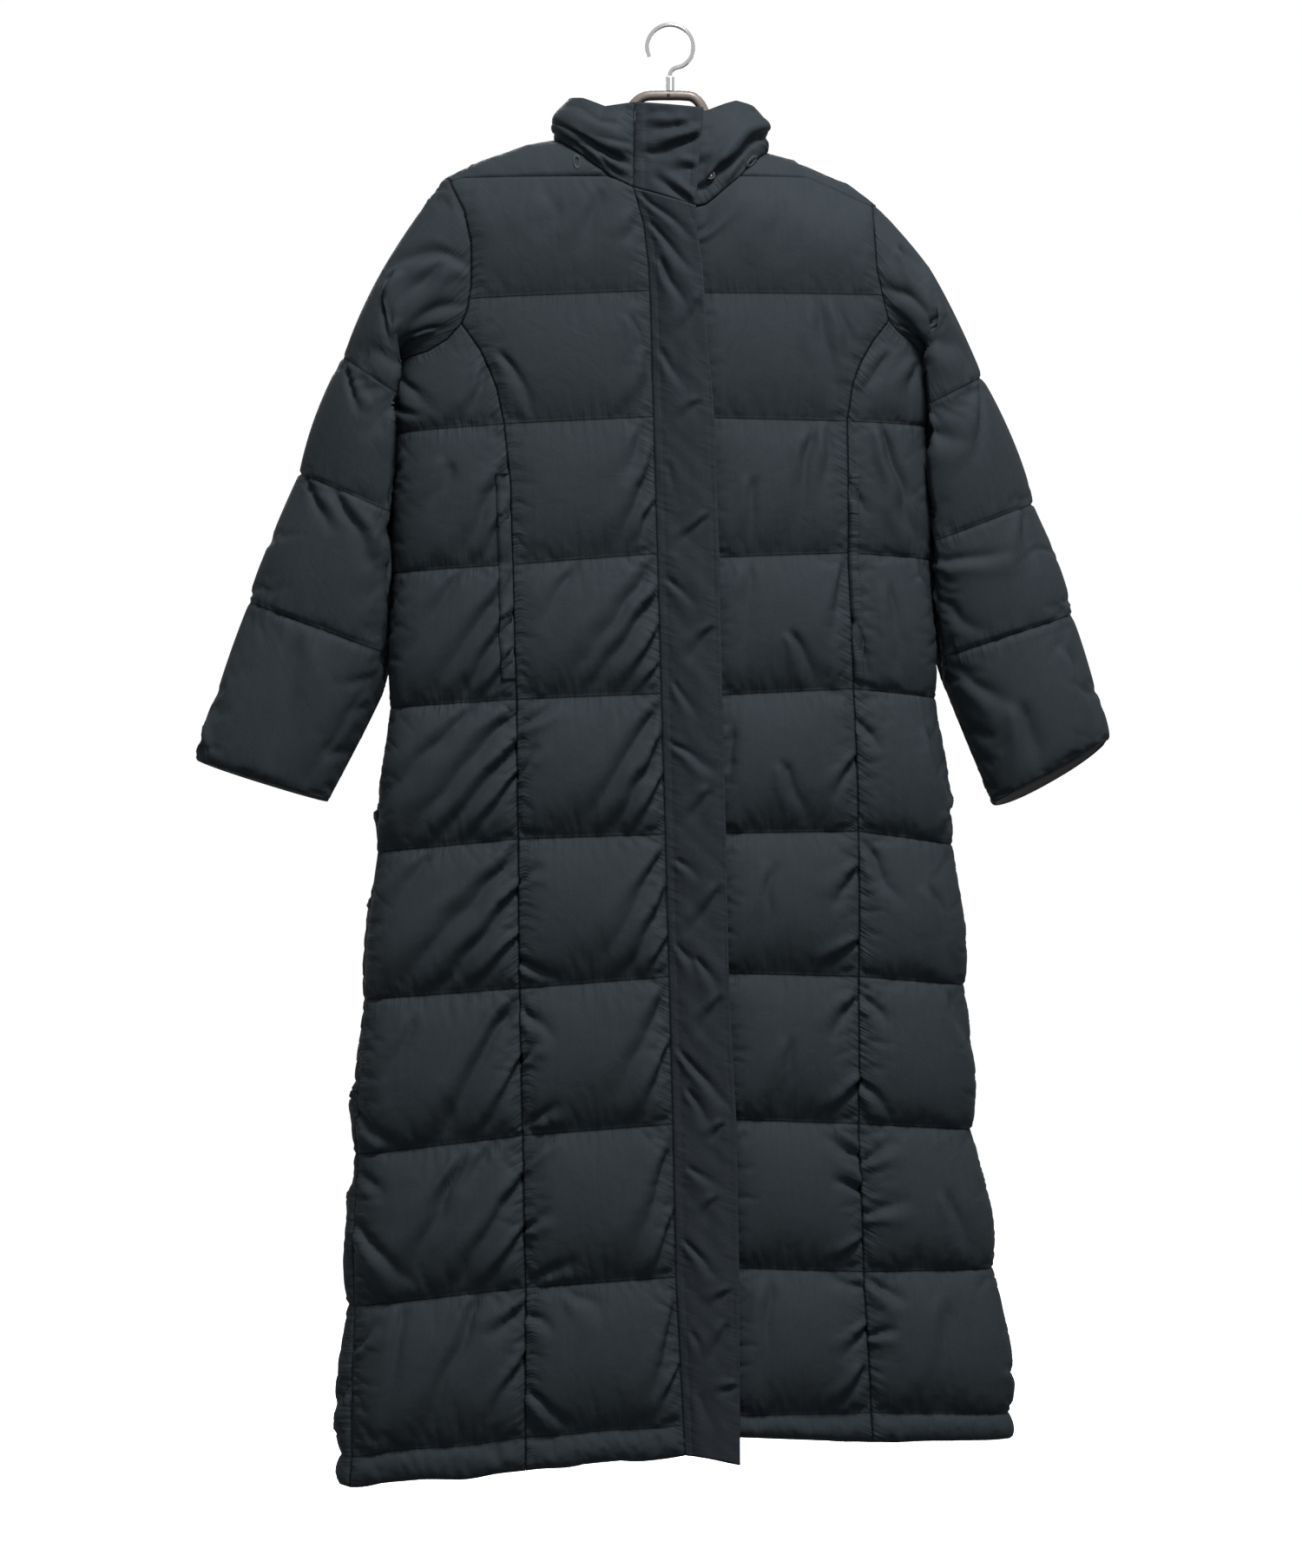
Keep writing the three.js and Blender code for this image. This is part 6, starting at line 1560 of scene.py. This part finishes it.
class CoatCloth(bpy.types.PropertyGroup):
    """Cloth of the coat."""
    puff: FloatProperty(name="Puff", description="How far a channel rises over its stitch lines", default=0.011,
                        min=0.002, max=0.03, unit="LENGTH")
    slack: FloatProperty(name="Slack", description="How much larger the cloth is cut than its stitch lines",
                         default=0.03, min=0.0, max=0.2)
    pressure: FloatProperty(name="Pressure", description="Push of the filling", default=40.0, min=0.0, max=200.0)
    frames: IntProperty(name="Frames", description="Steps for which the cloth is blown up", default=18, min=2, max=40)
    pucker: FloatProperty(name="Pucker", description="Depth of the short tucks beside the seams", default=0.0012,
                          min=0.0, max=0.005, unit="LENGTH")
    creases: FloatProperty(name="Creases", description="Strength of the creases laid by hand", default=2.8, min=0.0,
                           max=6.0)
    shell_hex: StringProperty(name="Shell colour", description="Colour of the padded cloth", default="#2b3135")
    facing_hex: StringProperty(name="Facing colour", description="Colour of the placket", default="#2a2f34")
    lining_hex: StringProperty(name="Lining colour", description="Colour of the inside", default="#15171a")


class COAT_OT_body(bpy.types.Operator):
    """Blow up the fronts and the back"""
    bl_idname = "coat.body"
    bl_label = "Body panels"

    def execute(self, context):
        shape_patches(context.scene.coat_cloth.puff / MM)
        padded_piece(["front_centre_right", "front_side_right", "front_centre_left", "front_side_left", "back"],
                     seeds=[21, 22, 23, 24, 25], cap=12.0)
        return {"FINISHED"}


class COAT_OT_sleeves(bpy.types.Operator):
    """Blow up the sleeves"""
    bl_idname = "coat.sleeves"
    bl_label = "Sleeves"

    def execute(self, context):
        padded_piece(["sleeve_right", "sleeve_left"], seeds=[31, 32], cap=6.0)
        return {"FINISHED"}


class COAT_OT_collar(bpy.types.Operator):
    """Blow up the stand collar"""
    bl_idname = "coat.collar"
    bl_label = "Collar"

    def execute(self, context):
        padded_piece(["collar"], seeds=[41], cap=6.0)
        return {"FINISHED"}


def flat_piece(name, patch, seed, amount, stitched=(), use_facing=True):
    """Unpadded strip of cloth with loose creases, and grooves under its rows of stitching with painted shadow along
    them.
    """
    shell, facing, _ = materials()
    outside = Outside([patch])
    u, v = patch.flat[..., 0], patch.flat[..., 1]
    width, height = (u.max(1) - u.min(1))[:, None], -v.min()
    sink = np.zeros(len(outside.points))
    loose = np.sin(np.pi * np.clip(patch.f, 0, 1)) ** 0.5
    waves = wobble(u + 0.8 * v, 0.4 * v, 60, seed) + 0.6 * wobble(u + 0.6 * v, v, 24, seed + 1)
    sink[outside.ids[0]] = amount * loose * waves
    if name in CREASES:
        # The turned edge beside its stitching stays straight
        calm = np.clip(np.minimum(patch.f / 0.12, (1 - patch.f) / 0.14), 0, 1)
        strength = FLAT_CREASES * bpy.context.scene.coat_cloth.creases
        sink[outside.ids[0]] += calm * channel_creases(outside, name, strength, height)[outside.ids[0]]
    for place, depth in stitched:
        away = np.abs(patch.f * width - place)
        tuck = 1 + 0.5 * wobble(v, 0 * v, 11, seed + 7)
        sink[outside.ids[0]] += depth * tuck * np.exp(-(away / STITCH_WIDTH) ** 2)
    room = np.zeros(len(sink))
    room[outside.ids[0]] = patch.room
    sink = np.clip(sink, -4.0, room)
    points = outside.points - outside.normals * sink[:, None]
    outside.inner = outside.inner - outside.normals * np.maximum(sink, 0)[:, None]
    rise = hem_waves(points, outside)
    points[:, 2] += rise
    outside.inner[:, 2] += rise
    SHAPES[name] = (outside, points)
    # Distances to the rows of stitching, along which the material paints a shadow line
    near = np.full((len(outside.points), 3), FAR)
    for place, _ in stitched:
        near[outside.ids[0], 1] = np.minimum(near[outside.ids[0], 1], np.abs(patch.f * width - place))
    chosen = facing if use_facing else shell
    obj = wall_object(name + "_cloth", outside, points, [chosen, chosen], near)
    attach(obj, "root")
    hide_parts(name)
    outer = patch.outer()
    width = np.linalg.norm(np.diff(outer, axis=1), axis=2).sum(1).max() * MM
    return obj


class COAT_OT_placket(bpy.types.Operator):
    """Lay the placket, its collar part, the underlap and the pocket welts"""
    bl_idname = "coat.placket"
    bl_label = "Placket and welts"

    def execute(self, context):
        flat_piece("placket", placket_patch(), 51, 0.5, [(9, 0.9), (61, 0.5)])
        flat_piece("collar_flap", collar_flap_patch(), 52, 0.5, [(2, 0.8), (12, 1.0), (62, 0.6)])
        flat_piece("underlap", underlap_patch(), 53, 0.4)
        for side in ("right", "left"):
            patch = PATCHES["front_side_" + side][0]
            outside, points = SHAPES["front_side_" + side]
            outer = points[outside.ids[0]]
            z = patch.point[:, -1 if side == "right" else 0, 2]
            # The pocket on the wearer's left stands a little open: its edge gets a shallow groove and a painted shadow
            # line, so it shows as a dark slot
            slot = [(0.5, 0.2), (2.5, 0.2)] if side == "left" else []
            flat_piece("pocket_welt_" + side, welt_patch(side, outer, patch.normal, z), 54, 0.1,
                       slot, use_facing=False)
        return {"FINISHED"}


def hanger_band():
    """The hanger's bent band: a rounded bar that follows the shoulders and arches up at the neck."""
    bpy.ops.object.select_all(action="DESELECT")
    width, height = HANGER_BAR["depth"] * MM, HANGER_BAR["height"] * MM
    bpy.ops.curve.primitive_bezier_circle_add(radius=0.5)
    profile = bpy.context.active_object
    for point in profile.data.splines[0].bezier_points:
        # Handles pulled out towards the corners make the circle a rounded oblong
        for handle in (point.handle_left, point.handle_right):
            handle[:] = [c if abs(c) > 0.4 else c * 1.6 for c in handle]
        for place in (point.co, point.handle_left, point.handle_right):
            place[0], place[1] = place[0] * width, place[1] * height
    profile.data.resolution_u = 6
    bpy.ops.object.select_all(action="DESELECT")
    bpy.ops.curve.primitive_bezier_curve_add()
    bar = bpy.context.active_object
    bar.name = "hanger_bar"
    arms = [[(x, float(ridge(x)) - HANGER_BAR["under_ridge"]) for x in ends] for ends in HANGER_BAR["arms"]]
    path = arms[0] + HANGER_BAR["arch"] + arms[1]
    spline = bar.data.splines[0]
    spline.bezier_points.add(len(path) - len(spline.bezier_points))
    for point, (x, z) in zip(spline.bezier_points, path):
        point.co = (x * MM, 0, z * MM)
        point.handle_left_type = point.handle_right_type = "AUTO"
    bar.data.dimensions = "3D"
    bar.data.twist_mode = "Z_UP"
    bar.data.bevel_mode = "OBJECT"
    bar.data.bevel_object = profile
    bar.data.use_fill_caps = True
    bar.data.resolution_u = 10
    bpy.ops.object.select_all(action="DESELECT")
    bar.select_set(True)
    bpy.context.view_layer.objects.active = bar
    bpy.ops.object.convert(target="MESH")
    bar = bpy.context.active_object
    bpy.data.objects.remove(profile)
    bpy.ops.object.mode_set(mode="EDIT")
    bpy.ops.mesh.select_all(action="SELECT")
    bpy.ops.mesh.remove_doubles(threshold=0.00002)
    bpy.ops.mesh.normals_make_consistent(inside=False)
    bpy.ops.object.mode_set(mode="OBJECT")
    bpy.ops.object.shade_smooth_by_angle(angle=math.radians(40))
    return bar


class COAT_OT_fittings(bpy.types.Operator):
    """Finish the hanger, its hook, the snap and the cord loops"""
    bl_idname = "coat.fittings"
    bl_label = "Hanger, snap and loops"

    def execute(self, context):
        chrome, cord = polished_chrome(), twisted_cord()
        low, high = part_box("snap_socket")
        middle = [(a + b) / 2 for a, b in zip(low, high)]
        bar = hanger_band()
        bar.data.materials.append(moulded_plastic(HANGER_HOLE))
        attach(bar, "root")
        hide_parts("hanger_body")
        for name, material in (
            ("hanger_hook", chrome), ("hanger_ferrule", chrome),
            ("snap_socket", ringed_snap_metal(middle)), ("hood_loop_right", cord), ("hood_loop_left", cord),
        ):
            finish_node(name, material)
        return {"FINISHED"}


class COAT_OT_stage(bpy.types.Operator):
    """Set up the pale studio, the soft light and the camera"""
    bl_idname = "coat.stage"
    bl_label = "Studio"

    def execute(self, context):
        scene = context.scene
        bpy.ops.object.select_all(action="DESELECT")
        bpy.ops.mesh.primitive_plane_add(size=16, location=(0, 0, -1.85))
        floor = context.active_object
        floor.name = "studio_floor"
        material, tree, shader = new_material("Matt studio paint")
        place = add_node(tree, "ShaderNodeTexCoord").outputs["Object"]
        noise = add_node(tree, "ShaderNodeTexNoise", None, Vector=place, Scale=3.0)
        ramp = add_node(tree, "ShaderNodeValToRGB", None, Fac=noise.outputs["Fac"])
        for element, text in zip(ramp.color_ramp.elements, ("#f6f6f6", "#fbfbfb")):
            element.color = colour(text)
        # The floor glows, as paper lit from below, but lights neither the cloth's undersides nor its edges
        feed(tree, shader, {"Base_Color": ramp.outputs["Color"], "Roughness": 0.9, "Emission_Strength": 0.95,
                            "Emission_Color": (1, 1, 1, 1)})
        floor.data.materials.append(material)
        floor.visible_diffuse = False
        floor.visible_glossy = False

        stage = scene.coat_stage
        world = bpy.data.worlds.new("Studio")
        scene.world = world
        world.use_nodes = True
        # Brighter above than below, as in a room with a high window
        tree = world.node_tree
        sky = add_node(tree, "ShaderNodeTexCoord").outputs["Generated"]
        height = add_node(tree, "ShaderNodeSeparateXYZ", None, i0=sky).outputs["Z"]
        rise = add_node(tree, "ShaderNodeMapRange", None, Value=height, From_Min=-0.6, From_Max=0.9, To_Min=0.12)
        # What the camera sees of the room is plain white, and what metal mirrors of it is bright
        paper = add_node(tree, "ShaderNodeBackground", None, Color=(1, 1, 1, 1))
        room = tree.nodes["Background"]
        feed(tree, room, {"Color": rise.outputs[0], "Strength": stage.ambient})
        ray = add_node(tree, "ShaderNodeLightPath").outputs
        seen = add_node(tree, "ShaderNodeMath", {"operation": "MULTIPLY_ADD"}, i0=ray["Is Glossy Ray"],
                        i1=0.6, i2=ray["Is Camera Ray"]).outputs[0]
        both = add_node(tree, "ShaderNodeMixShader", None, i0=seen, i1=room.outputs[0], i2=paper.outputs[0])
        feed(tree, tree.nodes["World Output"], {"Surface": both.outputs[0]})

        target = Vector((-0.02, 0, -0.75))
        for name, place, size, power in (
            ("key", (0.8, -2.3, 3.0), 1.3, stage.key_power),
            ("fill", (0.6, -4.2, 0.2), 2.5, stage.fill_power),
            ("back", (-0.5, 4.4, 1.2), 2.5, stage.back_power),
        ):
            light = bpy.data.lights.new(name, "AREA")
            light.shape = "DISK"
            light.size = size
            light.energy = power
            lamp = bpy.data.objects.new(name, light)
            scene.collection.objects.link(lamp)
            lamp.location = place
            lamp.rotation_euler = (target - Vector(place)).to_track_quat("-Z", "Y").to_euler()
        camera = bpy.data.cameras.new("camera")
        camera.sensor_fit = "VERTICAL"
        camera.sensor_height = 24
        camera.lens = camera.sensor_height * stage.distance / (PICTURE["height"] * MM)
        camera.clip_end = 100
        holder = bpy.data.objects.new("camera", camera)
        scene.collection.objects.link(holder)
        holder.location = (PICTURE["x"] * MM, PICTURE["y"] * MM - stage.distance, PICTURE["z"] * MM)
        holder.rotation_euler = (math.pi / 2, 0, 0)
        scene.camera = holder
        scene.view_settings.view_transform = "Standard"
        return {"FINISHED"}


class CoatStage(bpy.types.PropertyGroup):
    """Studio round the coat."""
    distance: FloatProperty(name="Camera distance", description="From the camera to the coat", default=6.0, min=2.0,
                            max=20.0, unit="LENGTH")
    key_power: FloatProperty(name="Key light", description="Power of the light above the front", default=270.0,
                             min=0.0, max=1000.0, unit="POWER")
    ambient: FloatProperty(name="Ambient", description="Even light from all round", default=0.3, min=0.0, max=3.0)
    fill_power: FloatProperty(name="Fill light", description="Power of the light beside the camera", default=24.0,
                              min=0.0, max=1000.0, unit="POWER")
    back_power: FloatProperty(name="Back light", description="Power of the light behind the coat", default=200.0,
                              min=0.0, max=1000.0, unit="POWER")


class COAT_PT_panel(bpy.types.Panel):
    """Lists the coat's pieces and sizes"""
    bl_label = "Long puffer coat"
    bl_idname = "COAT_PT_panel"
    bl_space_type = "VIEW_3D"
    bl_region_type = "UI"
    bl_category = "Coat"

    def draw(self, context):
        for group in (context.scene.coat_cloth, context.scene.coat_stage):
            for name in group.__annotations__:
                self.layout.prop(group, name)
        for operator in OPERATORS:
            self.layout.operator(operator.bl_idname)


OPERATORS = (COAT_OT_body, COAT_OT_sleeves, COAT_OT_collar, COAT_OT_placket, COAT_OT_fittings, COAT_OT_stage)
CLASSES = (CoatCloth, CoatStage) + OPERATORS + (COAT_PT_panel,)


def register():
    for cls in CLASSES:
        bpy.utils.register_class(cls)
    bpy.types.Scene.coat_cloth = PointerProperty(type=CoatCloth)
    bpy.types.Scene.coat_stage = PointerProperty(type=CoatStage)


def unregister():
    del bpy.types.Scene.coat_stage
    del bpy.types.Scene.coat_cloth
    for cls in reversed(CLASSES):
        bpy.utils.unregister_class(cls)


def main():
    register()
    bpy.ops.coat.body()
    bpy.ops.coat.sleeves()
    bpy.ops.coat.collar()
    bpy.ops.coat.placket()
    bpy.ops.coat.fittings()
    bpy.ops.coat.stage()


if __name__ == "__main__":
    main()
